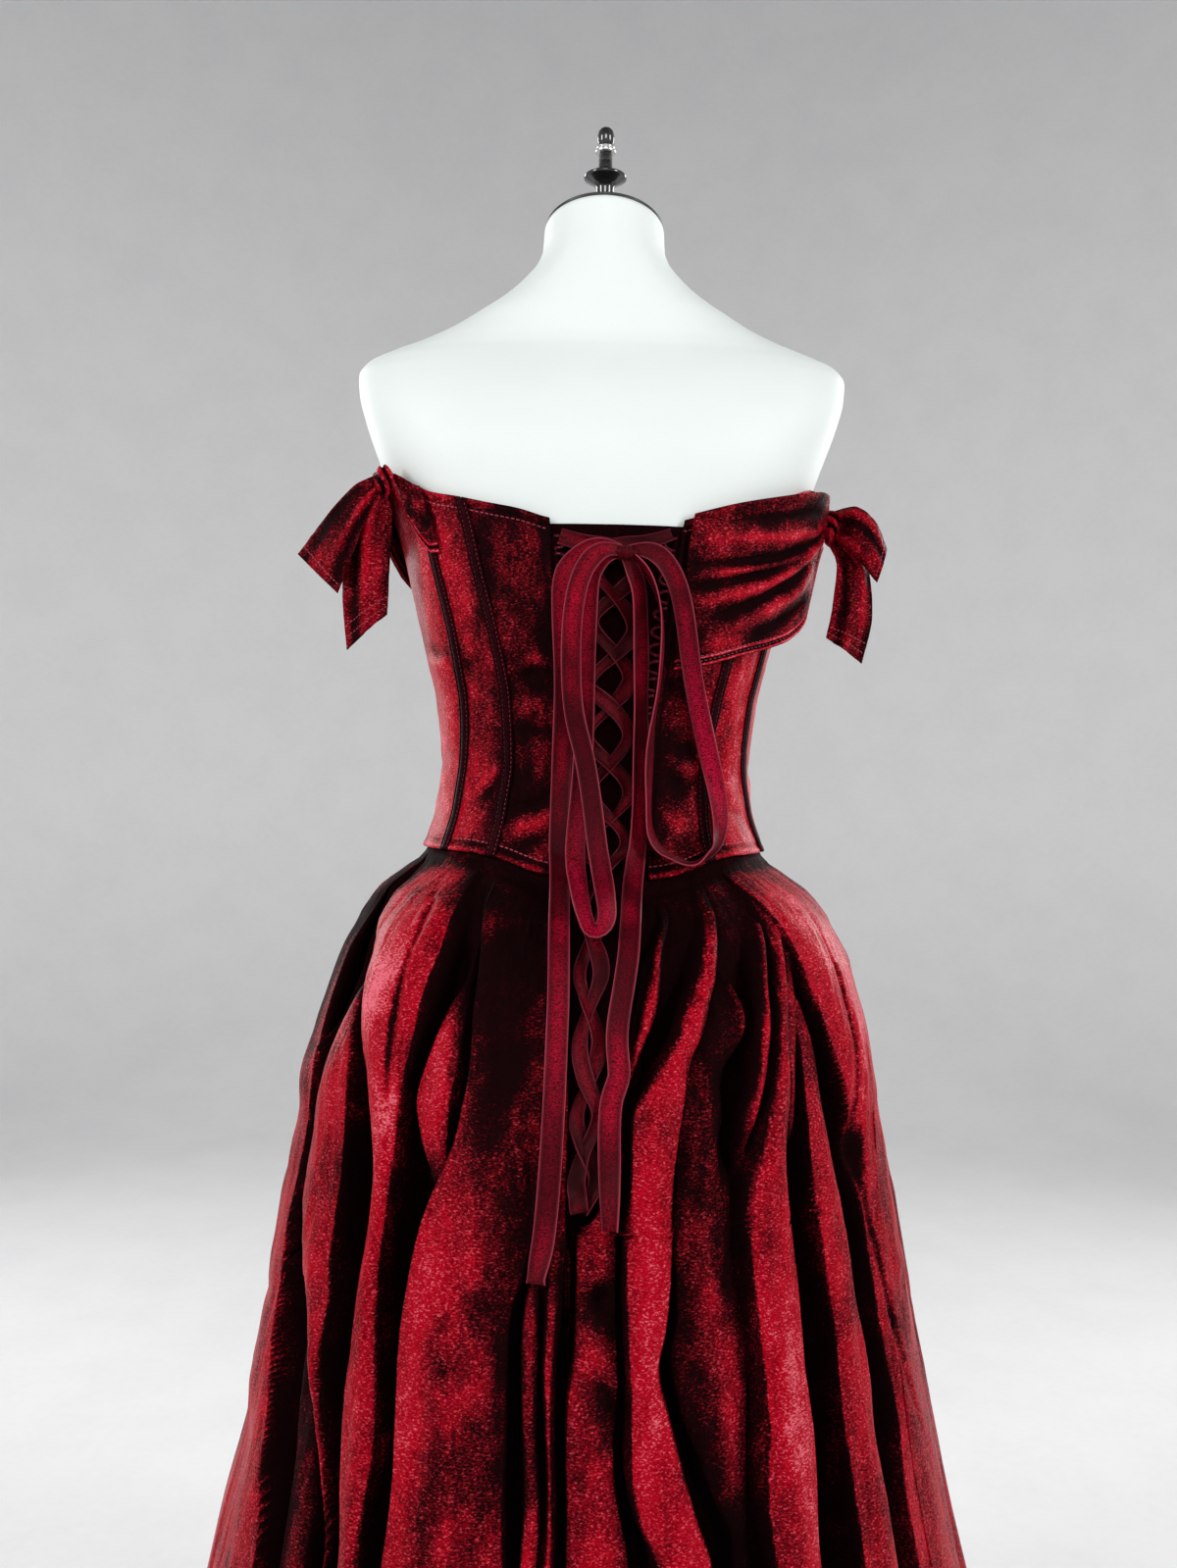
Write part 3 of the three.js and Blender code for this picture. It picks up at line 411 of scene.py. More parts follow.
def velvet(name, low, high, highlight_colour, sheen=1.0, sheen_tint=(1.0, 0.42, 0.48), sheen_rough=0.30,
           rough=(0.36, 0.62), spec=0.5, glint_amount=0.9, bump_mm=0.55, with_painted_light=True):
    """Short crushed pile. With painted light, low is the painted shade and high the lit pile, otherwise
    both are random tones; the third colour is a painted highlight, also sprinkled as glints."""
    m, nt, bsdf = new_mat(name)
    obj = nt.nodes.new("ShaderNodeTexCoord").outputs["Object"]
    crush = noise(nt, obj, 30, 3.0, 0.55, (1, 1, 0.45))
    patch = noise(nt, obj, 90, 2.5, 0.6, (1, 1, 0.6))
    pile = noise(nt, obj, 620, 2.0, 0.65, (0.8, 0.8, 1.5))
    fibre = noise(nt, obj, 1500, 1.0, 0.5, (0.7, 0.7, 1.6))
    blend = math_node(nt, "ADD", math_node(nt, "MULTIPLY", crush, 0.6),
                      math_node(nt, "MULTIPLY", patch, 0.4))
    # painted glints: specks of the highlight colour on the pile, only on the lit parts when painted light is used
    painted_glints = ramp_node(nt, pile, [(0.57, (0, 0, 0)), (0.70, (1, 1, 1))])
    if with_painted_light:
        # painted light and shade: an attribute that is dark at the foot of a fold and light on its crest and towards
        # the lamps, with random tone of the pile added
        at = nt.nodes.new("ShaderNodeAttribute")
        at.attribute_name = "painted_light_and_tone"
        painted_light_and_grain = math_node(nt, "ADD", at.outputs["Fac"],
                        math_node(nt, "MULTIPLY", math_node(nt, "SUBTRACT", blend, 0.5), 1.5))
        painted_light_and_grain = math_node(nt, "ADD", painted_light_and_grain,
                        math_node(nt, "MULTIPLY", math_node(nt, "SUBTRACT", pile, 0.5), 1.35))
        painted_light_and_grain = math_node(nt, "MULTIPLY", painted_light_and_grain, 0.72)
        mid = tuple(0.30 * h + 0.70 * l for h, l in zip(high, low))
        body = ramp_node(nt, painted_light_and_grain, [(0.05, tuple(c * 0.25 for c in low)), (0.24, low), (0.42, mid),
                                   (0.66, high), (0.76, high), (1.0, highlight_colour)])
        painted_glints = math_node(nt, "MULTIPLY", painted_glints, ramp_node(nt, painted_light_and_grain, [(0.36, (0, 0, 0)), (0.72, (1, 1, 1))]))
    else:
        body = ramp_node(nt, blend, [(0.40, low), (0.58, high)])
    painted_glints = math_node(nt, "MULTIPLY", painted_glints, glint_amount)
    body = mix_color(nt, painted_glints, body, highlight_colour)
    nt.links.new(body, bsdf.inputs["Base Color"])
    r = nt.nodes.new("ShaderNodeMapRange")
    r.inputs["To Min"].default_value, r.inputs["To Max"].default_value = rough
    r.inputs["From Min"].default_value, r.inputs["From Max"].default_value = 0.3, 0.7
    nt.links.new(patch, r.inputs[0])
    if with_painted_light:
        # matt where the painted shade is deep
        matt = ramp_node(nt, painted_light_and_grain, [(0.20, (0.42, 0.42, 0.42)), (0.60, (0, 0, 0))])
        nt.links.new(math_node(nt, "ADD", r.outputs[0], matt), bsdf.inputs["Roughness"])
    else:
        nt.links.new(r.outputs[0], bsdf.inputs["Roughness"])
    h = math_node(nt, "ADD", pile, math_node(nt, "MULTIPLY", fibre, 0.4))
    h = math_node(nt, "ADD", h, math_node(nt, "MULTIPLY", patch, 0.6))
    bump(nt, bsdf, h, 0.75, bump_mm * MM)
    bsdf.inputs["Sheen Weight"].default_value = sheen
    bsdf.inputs["Sheen Roughness"].default_value = sheen_rough
    bsdf.inputs["Sheen Tint"].default_value = (*sheen_tint, 1)
    bsdf.inputs["Specular IOR Level"].default_value = spec
    bsdf.inputs["Specular Tint"].default_value = (1.0, 0.30, 0.36, 1)
    return m


def ribbon_mat(name, gain=1.0, selvage=(0.26, 0.030, 0.050)):
    m, nt, bsdf = new_mat(name)
    obj = nt.nodes.new("ShaderNodeTexCoord").outputs["Object"]
    pile = noise(nt, obj, 900, 2.0, 0.6, (0.8, 0.8, 1.4))
    soft = noise(nt, obj, 22, 2.5, 0.55, (1, 1, 0.6))
    body = ramp_node(nt, soft, [(0.36, (0.010 * gain, 0.0001, 0.0006 * gain)),
                                (0.50, (0.070 * gain, 0.0003, 0.0035 * gain)),
                                (0.64, (0.290 * gain, 0.0008, 0.0150 * gain))])
    # painted highlight: the shine attribute lightens the stretches where the light falls on the ribbon
    lit = nt.nodes.new("ShaderNodeAttribute")
    lit.attribute_name = "shine"
    body = mix_color(nt, lit.outputs["Fac"], body, (0.46, 0.0030, 0.034))
    body = mix_color(nt, ramp_node(nt, pile, [(0.35, (0, 0, 0)), (0.6, (1, 1, 1))]),
                     (0.012 * gain, 0.0001, 0.0008 * gain), body)
    at = nt.nodes.new("ShaderNodeAttribute")
    at.attribute_name = "edge"
    # painted shade: darker towards the woven edges, less so under the painted highlight
    painted_edge_shade = ramp_node(nt, at.outputs["Fac"], [(0.0, (0, 0, 0)), (0.35, (0.10, 0.10, 0.10)),
                                             (0.80, (0.72, 0.72, 0.72))])
    painted_edge_shade = math_node(nt, "MULTIPLY", painted_edge_shade, math_node(nt, "SUBTRACT", 1.0,
                                                     math_node(nt, "MULTIPLY", lit.outputs["Fac"], 0.6)))
    body = mix_color(nt, painted_edge_shade, body, (0.014 * gain, 0.0001, 0.0009 * gain))
    edge = ramp_node(nt, at.outputs["Fac"], [(0.78, (0, 0, 0)), (0.80, (0.15, 0.15, 0.15)),
                                             (0.90, (0.15, 0.15, 0.15)), (0.97, (1, 1, 1))])
    body = mix_color(nt, edge, body, selvage)
    nt.links.new(body, bsdf.inputs["Base Color"])
    r = math_node(nt, "SUBTRACT", 0.55, math_node(nt, "MULTIPLY", edge, 0.25))
    nt.links.new(r, bsdf.inputs["Roughness"])
    bump(nt, bsdf, pile, 0.5, 0.3 * MM)
    bsdf.inputs["Sheen Weight"].default_value = 0.02
    bsdf.inputs["Sheen Roughness"].default_value = 0.35
    bsdf.inputs["Sheen Tint"].default_value = (1.0, 0.30, 0.34, 1)
    bsdf.inputs["Specular IOR Level"].default_value = 0.16
    bsdf.inputs["Specular Tint"].default_value = (1.0, 0.30, 0.34, 1)
    return m


def plain_mat(name, color, dark, rough, metal=0.0, scale=300, bump_mm=0.05, coat=0.0, stretch=None):
    """Painted, turned or knitted surface with a little unevenness of its own."""
    m, nt, bsdf = new_mat(name)
    obj = nt.nodes.new("ShaderNodeTexCoord").outputs["Object"]
    big = noise(nt, obj, 7, 2.0, 0.5)
    fine = noise(nt, obj, scale, 2.0, 0.6, stretch)
    body = ramp_node(nt, math_node(nt, "ADD", math_node(nt, "MULTIPLY", big, 0.6),
                                   math_node(nt, "MULTIPLY", fine, 0.4)),
                     [(0.36, dark), (0.60, color)])
    nt.links.new(body, bsdf.inputs["Base Color"])
    r = nt.nodes.new("ShaderNodeMapRange")
    r.inputs["To Min"].default_value, r.inputs["To Max"].default_value = rough
    nt.links.new(big, r.inputs[0])
    nt.links.new(r.outputs[0], bsdf.inputs["Roughness"])
    bsdf.inputs["Metallic"].default_value = metal
    bsdf.inputs["Coat Weight"].default_value = coat
    bump(nt, bsdf, fine, 0.4, bump_mm * MM)
    return m


# crimson velvet: painted shade colour, lit colour and painted highlight colour
VELVET = velvet("velvet_crimson", (0.0070, 0.0001, 0.0006), (0.33, 0.0008, 0.0090), (0.66, 0.125, 0.165),
                sheen=0.0, sheen_tint=(1.0, 0.30, 0.36), glint_amount=0.50, spec=0.08, rough=(0.28, 0.42))
# crimson velvet painted almost black: painted shade for the pieces inside the laced opening
VELVET_PAINTED_SHADE = velvet("velvet_dark", (0.0018, 0.0001, 0.0003), (0.0050, 0.0001, 0.0006),
                     (0.03, 0.003, 0.005), sheen=0.0, glint_amount=0.3, spec=0.04, rough=(0.6, 0.75), with_painted_light=False)
CHANNEL = velvet("channel_tape", (0.0035, 0.0001, 0.0004), (0.0100, 0.0002, 0.0011),
                 (0.07, 0.009, 0.014), sheen=0.0, glint_amount=0.35, spec=0.06, rough=(0.45, 0.6), with_painted_light=False,
                 bump_mm=0.35)
RIBBON = ribbon_mat("velvet_ribbon")
RIBBON_LACE = ribbon_mat("velvet_lacing", 0.55, (0.10, 0.008, 0.016))
THREAD = plain_mat("stitch_thread", (0.30, 0.02, 0.045), (0.16, 0.008, 0.02), (0.4, 0.55),
                   scale=900, bump_mm=0.1)
COVER = plain_mat("form_cover", (0.655, 0.695, 0.675), (0.615, 0.655, 0.635), (0.5, 0.6), scale=1100,
                  bump_mm=0.12, stretch=(1, 1, 1.6))
BLACK = plain_mat("stand_black", (0.022, 0.022, 0.024), (0.012, 0.012, 0.013), (0.32, 0.45),
                  scale=500, bump_mm=0.04)
LACQUER = plain_mat("finial_lacquer", (0.016, 0.015, 0.015), (0.008, 0.008, 0.008), (0.12, 0.22),
                    scale=160, bump_mm=0.03, coat=0.6, stretch=(1, 1, 6))
STEEL = plain_mat("brushed_steel", (0.66, 0.66, 0.64), (0.50, 0.50, 0.49), (0.22, 0.34), metal=1.0,
                  scale=500, bump_mm=0.03, stretch=(1, 1, 0.05))

# ------------------------------------------------------- surfaces of the form
TORSO = [
    [800, 150, 100, 95, 2.2], [850, 166, 118, 103, 2.2], [900, 158, 110, 102, 2.2],
    [940, 142, 97, 97, 2.2], [977, 124, 88, 91, 2.2], [1007, 117.8, 82, 86, 2.2],
    [1038, 115.6, 79, 83, 2.2], [1083, 120, 82, 87, 2.2], [1106, 125, 86, 93, 2.2],
    [1139, 133, 91, 101, 2.2], [1168, 140, 94, 109, 2.2], [1200, 147.5, 96.5, 113, 2.25],
    [1230, 157.5, 96, 111.5, 2.35], [1264, 169.5, 94, 104, 2.55], [1299, 182, 84, 88, 2.6],
    [1322, 188, 73, 76, 2.5], [1336, 189, 64, 66, 2.4], [1346, 183, 57, 58, 2.3],
    [1354, 168, 52, 53, 2.2], [1364, 143, 49, 50, 2.1], [1376, 118, 48, 48, 2.0],
    [1388, 98, 47.5, 47, 2.0], [1400, 79, 47, 47, 2.0], [1413, 62.7, 47, 47, 2.0],
    [1425, 52, 47.5, 46.8, 2.0], [1436, 47.8, 46.8, 46.5, 2.0], [1452, 46.7, 46.7, 46.5, 2.0],
]
TORSO_AT = table_curves("z half back front power", TORSO)
SEAM_AT = table_curves("z gapL gapR backL backR sideL sideR", [
    [950, -10.3, 15.5, -33.0, 37.0, -53.5, 75.0], [1000, -10.4, 17.8, -32.6, 38.8, -54.5, 71.0],
    [1040, -10.5, 19.0, -31.0, 40.2, -52.3, 66.5], [1080, -10.6, 20.0, -31.0, 43.4, -50.0, 66.0],
    [1130, -11.0, 21.0, -32.6, 45.5, -49.8, 67.5], [1190, -12.8, 21.8, -36.0, 47.0, -52.0, 68.0],
    [1245, -13.2, 24.0, -36.8, 48.0, -50.6, 68.0],
])
TOP_EDGE = curve([0, 18, 26, 34, 41, 49, 56, 66, 90, 120, 150, 180],
                 [1205, 1212, 1219, 1224, 1229, 1234, 1242, 1247, 1250, 1256, 1262, 1252])
BOTTOM_EDGE = curve([0, 13, 18, 24, 35, 47, 60, 90, 130, 180],
                    [955, 956.5, 958, 961.5, 969, 972.5, 973, 974, 971, 962])


def fold180(a):
    return np.abs((np.asarray(a, float) + 180) % 360 - 180)


def from_opening(a):
    return fold180(a - 5 * np.maximum(0, cosd(a)))


def top_z(a):
    return TOP_EDGE(from_opening(a))


def bottom_z(a):
    return BOTTOM_EDGE(from_opening(a))


def section(angle, z, half, back, front, power, off):
    s, c = sind(angle), cosd(angle)
    r = 1 / (np.abs(s) ** power + np.abs(c) ** power) ** (1 / power)
    x = (half + off) * r * s
    y = -(np.where(c > 0, back, front) + off) * r * c
    return np.stack(np.broadcast_arrays(x, y, np.asarray(z, float) + 0 * x), axis=-1)


def torso(angle, z, off):
    return section(angle, z, TORSO_AT["half"](z), TORSO_AT["back"](z), TORSO_AT["front"](z),
                   TORSO_AT["power"](z), off)


def deg_per_mm(angle, z, off):
    a, b = torso(angle - 0.5, z, off), torso(angle + 0.5, z, off)
    return 1 / np.hypot(b[..., 0] - a[..., 0], b[..., 1] - a[..., 1])


EASE, WALL, FLARE = 2.3, 1.6, 3.2


def panel_out(a, z):
    return EASE + WALL + FLARE * (1 - ramp(bottom_z(a) - 2, bottom_z(a) + 34, z))


# ---------------------------------------------------------------- dress form
def build_form():
    a = np.linspace(0, 360, 129)[:-1][:, None]
    zs = np.concatenate([np.linspace(800, 1190, 40), np.linspace(1197, 1330, 28),
                         np.linspace(1334, 1452, 60)])[None, :]
    tilt = curve([1402, 1425, 1452], [0, 4, 12])
    P = torso(a, zs, 0)
    P[..., 2] += tilt(zs) * cosd(a)
    nu, nv = P.shape[:2]
    V = np.concatenate([P.reshape(-1, 3), P[:, 0].mean(0)[None], P[:, -1].mean(0)[None]])
    i = np.arange(nu)
    c0 = np.stack([np.full(nu, nu * nv), ((i + 1) % nu) * nv, i * nv], 1)
    c1 = np.stack([np.full(nu, nu * nv + 1), i * nv + nv - 1, ((i + 1) % nu) * nv + nv - 1], 1)
    body = mesh_object("form_cover", V, [grid_faces(nu, nv, 0, False, True), c0, c1], None, COVER)
    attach(body, "root")
    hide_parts("form_body")

    def lathe(name, rows, mat, node_name, sides=72, foot=0.0, tilt_to=0.0, lean=0.0):
        rows = np.array(rows, float)
        ang = np.linspace(0, 2 * np.pi, sides, endpoint=False)
        rings = []
        for k, (r, z) in enumerate(rows):
            w = lean * r * np.cos(ang) * (1 if z <= tilt_to else 0)
            rings.append(np.stack([r * np.sin(ang), -r * np.cos(ang), foot + z + w], 1))
        P2 = np.array(rings).transpose(1, 0, 2)
        n, k2 = P2.shape[:2]
        V2 = np.concatenate([P2.reshape(-1, 3), P2[:, 0].mean(0)[None], P2[:, -1].mean(0)[None]])
        i2 = np.arange(n)
        d0 = np.stack([np.full(n, n * k2), ((i2 + 1) % n) * k2, i2 * k2], 1)
        d1 = np.stack([np.full(n, n * k2 + 1), i2 * k2 + k2 - 1, ((i2 + 1) % n) * k2 + k2 - 1], 1)
        ob = mesh_object(name, V2, [grid_faces(n, k2, 0, False, True), d0, d1], None, mat)
        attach(ob, "root")
        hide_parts(node_name)
        return ob

    # rim of the neck cap, rounded, on the slope of the neck's top
    ang = np.linspace(0, 2 * np.pi, 160, endpoint=False)
    prof = [(-1.5, 0.3), (-0.3, 0.5), (0, 1.2), (0, 2.2), (-0.5, 2.8), (-1.5, 3.0), (-8, 3.0),
            (-24, 3.0), (-38, 3.0)]
    P = []
    for off, lift in prof:
        r = (46.7 + off)
        zz = 1452 + 12 * (r / 46.7) * np.cos(ang) + lift
        yy = np.where(np.cos(ang) > 0, r, r * 46.5 / 46.7)
        P.append(np.stack([r * np.sin(ang), -yy * np.cos(ang), zz], 1))
    P = np.array(P).transpose(1, 0, 2)
    n, k = P.shape[:2]
    V = np.concatenate([P.reshape(-1, 3), P[:, 0].mean(0)[None], P[:, -1].mean(0)[None]])
    i = np.arange(n)
    d0 = np.stack([np.full(n, n * k), ((i + 1) % n) * k, i * k], 1)
    d1 = np.stack([np.full(n, n * k + 1), i * k + k - 1, ((i + 1) % n) * k + k - 1], 1)
    cap = mesh_object("neck_cap", V, [grid_faces(n, k, 0, False, True), d0, d1], None, BLACK)
    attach(cap, "root")
    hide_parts("form_neck_cap")

    def rounded(pts, r=0.5, steps=3):
        """Outline with its corners eased."""
        pts = [np.array(p, float) for p in pts]
        out = [pts[0]]
        for a0, b0, c0_ in zip(pts, pts[1:], pts[2:]):
            u, w = a0 - b0, c0_ - b0
            lu, lw = np.linalg.norm(u), np.linalg.norm(w)
            q = min(r, lu * 0.45, lw * 0.45)
            s, e = b0 + u / lu * q, b0 + w / lw * q
            for t in np.linspace(0, 1, steps + 1):
                out.append((1 - t) ** 2 * s + 2 * t * (1 - t) * b0 + t * t * e)
        out.append(pts[-1])
        return out
    foot = 1455.3
    lathe("finial", rounded([(8.6, 0), (8.6, 8), (7.4, 12), (6.9, 22), (7.0, 34), (9.5, 37),
                             (16.8, 41), (16.8, 43), (9.0, 46), (5.4, 49), (5.2, 60.4)], 0.9),
          LACQUER, "form_finial", 64, foot, 0.0, 12 / 46.7)
    lathe("finial_ring", rounded([(5.6, 60.7), (8.1, 61.4), (8.1, 63.2), (6.4, 64.4), (7.2, 65.4),
                                  (6.2, 66.8), (5.0, 67.1)], 0.35), STEEL, "form_finial_ring",
          64, foot)
    lathe("finial_knob", rounded([(5.2, 67.4), (6.6, 69.5), (6.8, 74), (5.8, 78.5), (3.2, 81),
                                  (0.6, 81.6)], 1.2), LACQUER, "form_finial_knob",
          64, foot)
    lathe("pole", rounded([(13.2, 38.3), (14, 39.2), (14, 759.2), (13.2, 760)], 0.4), STEEL,
          "form_pole", 48)
    lathe("socket", rounded([(30, 760.3), (34, 763), (34, 796), (30, 799.7)], 1.5), BLACK,
          "form_socket", 48)
    lathe("base_plate", rounded([(172, 0), (175, 0.8), (175, 6), (167, 12), (34, 12), (26, 16),
                                 (22, 38)], 1.6), BLACK, "form_base", 128)


# -------------------------------------------------------------------- bodice
def patch_grid(nu, nv, left, right, z_low, z_high, gap=0.3):
    u = np.linspace(0, 1, nu + 1)[:, None]
    v = np.linspace(0, 1, nv + 1)[None, :]
    low = lerp(left(965.0), right(965.0), u)
    high = lerp(left(1235.0), right(1235.0), u)
    z = lerp(z_low(low), z_high(high), v)
    l = left(z) + gap / 2 * deg_per_mm(left(z), z, 3)
    r = right(z) - gap / 2 * deg_per_mm(right(z), z, 3)
    return lerp(l, r, u), z, u + 0 * v, v + 0 * u


# Creases of the bodice: points (angle, z), height of the crease, width in mm.
BODICE_CREASES = [
    ([(-14, 1110), (-19, 1113), (-26, 1106)], 1.5, 4.5), ([(-13, 1101), (-20, 1103), (-27, 1097)], -1.5, 4),
    ([(-13, 1076), (-20, 1082), (-27, 1074)], 1.3, 6), ([(-12, 1060), (-20, 1060), (-28, 1064)], -1.2, 5),
    ([(-12, 1004), (-20, 994), (-29, 988)], 1.9, 6), ([(-12, 1018), (-20, 1008), (-30, 1004)], -1.6, 5),
    ([(-12, 990), (-20, 979), (-27, 975)], -1.2, 5),
    ([(-34, 1040), (-38, 1026), (-43, 1018)], 1.4, 4), ([(-34, 1030), (-39, 1014), (-45, 1008)], -1.2, 4),
    ([(-50, 1112), (-44, 1110), (-37, 1116)], -0.7, 6), ([(-74, 1122), (-62, 1119), (-52, 1120)], -1.1, 5),
    ([(-76, 1112), (-62, 1110), (-53, 1112)], 0.9, 5), ([(-70, 1020), (-60, 1016), (-54, 1020)], -0.8, 6),
    ([(24, 1060), (30, 1048), (37, 1050)], -1.3, 6), ([(25, 1030), (31, 1022), (37, 1020)], -1.4, 6),
    ([(24, 1046), (30, 1036), (38, 1036)], 1.2, 6), ([(23, 1085), (31, 1080), (40, 1088)], 0.9, 7),
    ([(22, 1002), (30, 994), (36, 996)], 1.2, 6), ([(46, 1070), (54, 1064), (64, 1072)], -0.7, 5),
    ([(42, 1030), (52, 1024), (64, 1030)], 0.7, 5), ([(44, 1000), (54, 1006), (68, 996)], -0.8, 6),
    ([(72, 1040), (84, 1034), (96, 1040)], -1.0, 6), ([(74, 1020), (86, 1024), (96, 1016)], 0.9, 6),
    ([(100, 1060), (115, 1052), (136, 1056)], -1.0, 7), ([(104, 1036), (120, 1040), (140, 1030)], 1.0, 7),
    ([(224, 1060), (240, 1052), (258, 1058)], -1.0, 7), ([(222, 1030), (240, 1040), (256, 1034)], 1.0, 7),
    ([(146, 1046), (165, 1036), (185, 1038), (212, 1048)], -1.1, 7),
    ([(150, 1024), (170, 1016), (190, 1016), (208, 1026)], 1.0, 7),
    ([(-96, 1040), (-86, 1034), (-74, 1042)], -1.0, 6), ([(-94, 1000), (-84, 1008), (-72, 1000)], 0.9, 6),
]


def crease_field(A, Z, creases, mm_per_deg):
    """Sum of soft creases on a grid of angles and heights."""
    H = np.zeros(np.broadcast(A, Z).shape)
    for pts, amp, width in creases:
        pts = np.array(pts, float)
        seg = np.linalg.norm(np.diff(pts, axis=0) * [[mm_per_deg, 1]], axis=1)
        cum = np.concatenate([[0], np.cumsum(seg)])
        lo, hi = pts.min(0), pts.max(0)
        pad = 3.2 * width
        sel = ((A > lo[0] - pad / mm_per_deg) & (A < hi[0] + pad / mm_per_deg)
               & (Z > lo[1] - pad) & (Z < hi[1] + pad))
        if not sel.any():
            continue
        a, z = (A + 0 * H)[sel], (Z + 0 * H)[sel]
        bd = np.full(a.shape, 1e9)
        al = np.zeros(a.shape)
        for k in range(len(pts) - 1):
            px, pz = pts[k, 0], pts[k, 1]
            dx, dz = (pts[k + 1, 0] - px) * mm_per_deg, pts[k + 1, 1] - pz
            t = np.clip(((a - px) * mm_per_deg * dx + (z - pz) * dz) / (dx * dx + dz * dz), 0, 1)
            d = np.hypot((a - px) * mm_per_deg - t * dx, z - pz - t * dz)
            m = d < bd
            bd = np.where(m, d, bd)
            al = np.where(m, cum[k] + t * seg[k], al)
        s = al / cum[-1]
        taper = np.sin(np.pi * np.clip(s, 0.03, 0.97)) ** 0.6
        H[sel] += amp * taper * np.exp(-(bd / width) ** 2)
    return H


def stitch_parts(P, N, length=2.6, gap=1.4, wide=0.45, high=0.35):
    """Little raised stitches along the points P (n, 3), facing N."""
    d = np.concatenate([[0], np.cumsum(np.linalg.norm(np.diff(P, axis=0), axis=1))])
    parts = []
    s = gap
    while s + length < d[-1]:
        ts = [s, s + length / 2, s + length]
        C = np.stack([np.interp(ts, d, P[:, c]) for c in range(3)], 1)
        M = np.stack([np.interp(ts, d, N[:, c]) for c in range(3)], 1)
        M /= np.linalg.norm(M, axis=1, keepdims=True)
        T = C[2] - C[0]
        T /= np.linalg.norm(T)
        W = np.cross(T, M)
        ring = []
        for c, mm, w, h in zip(C, M, W, (0.05, high, 0.05)):
            ring.append([c - w * wide, c + mm * h * 0.8, c + mm * h, c + w * wide])
        V = np.array(ring).reshape(-1, 3)
        q = []
        for k in range(2):
            for i in range(3):
                q.append([k * 4 + i, k * 4 + i + 1, (k + 1) * 4 + i + 1, (k + 1) * 4 + i])
        parts.append((V, [np.array(q)]))
        s += length + gap
    return parts


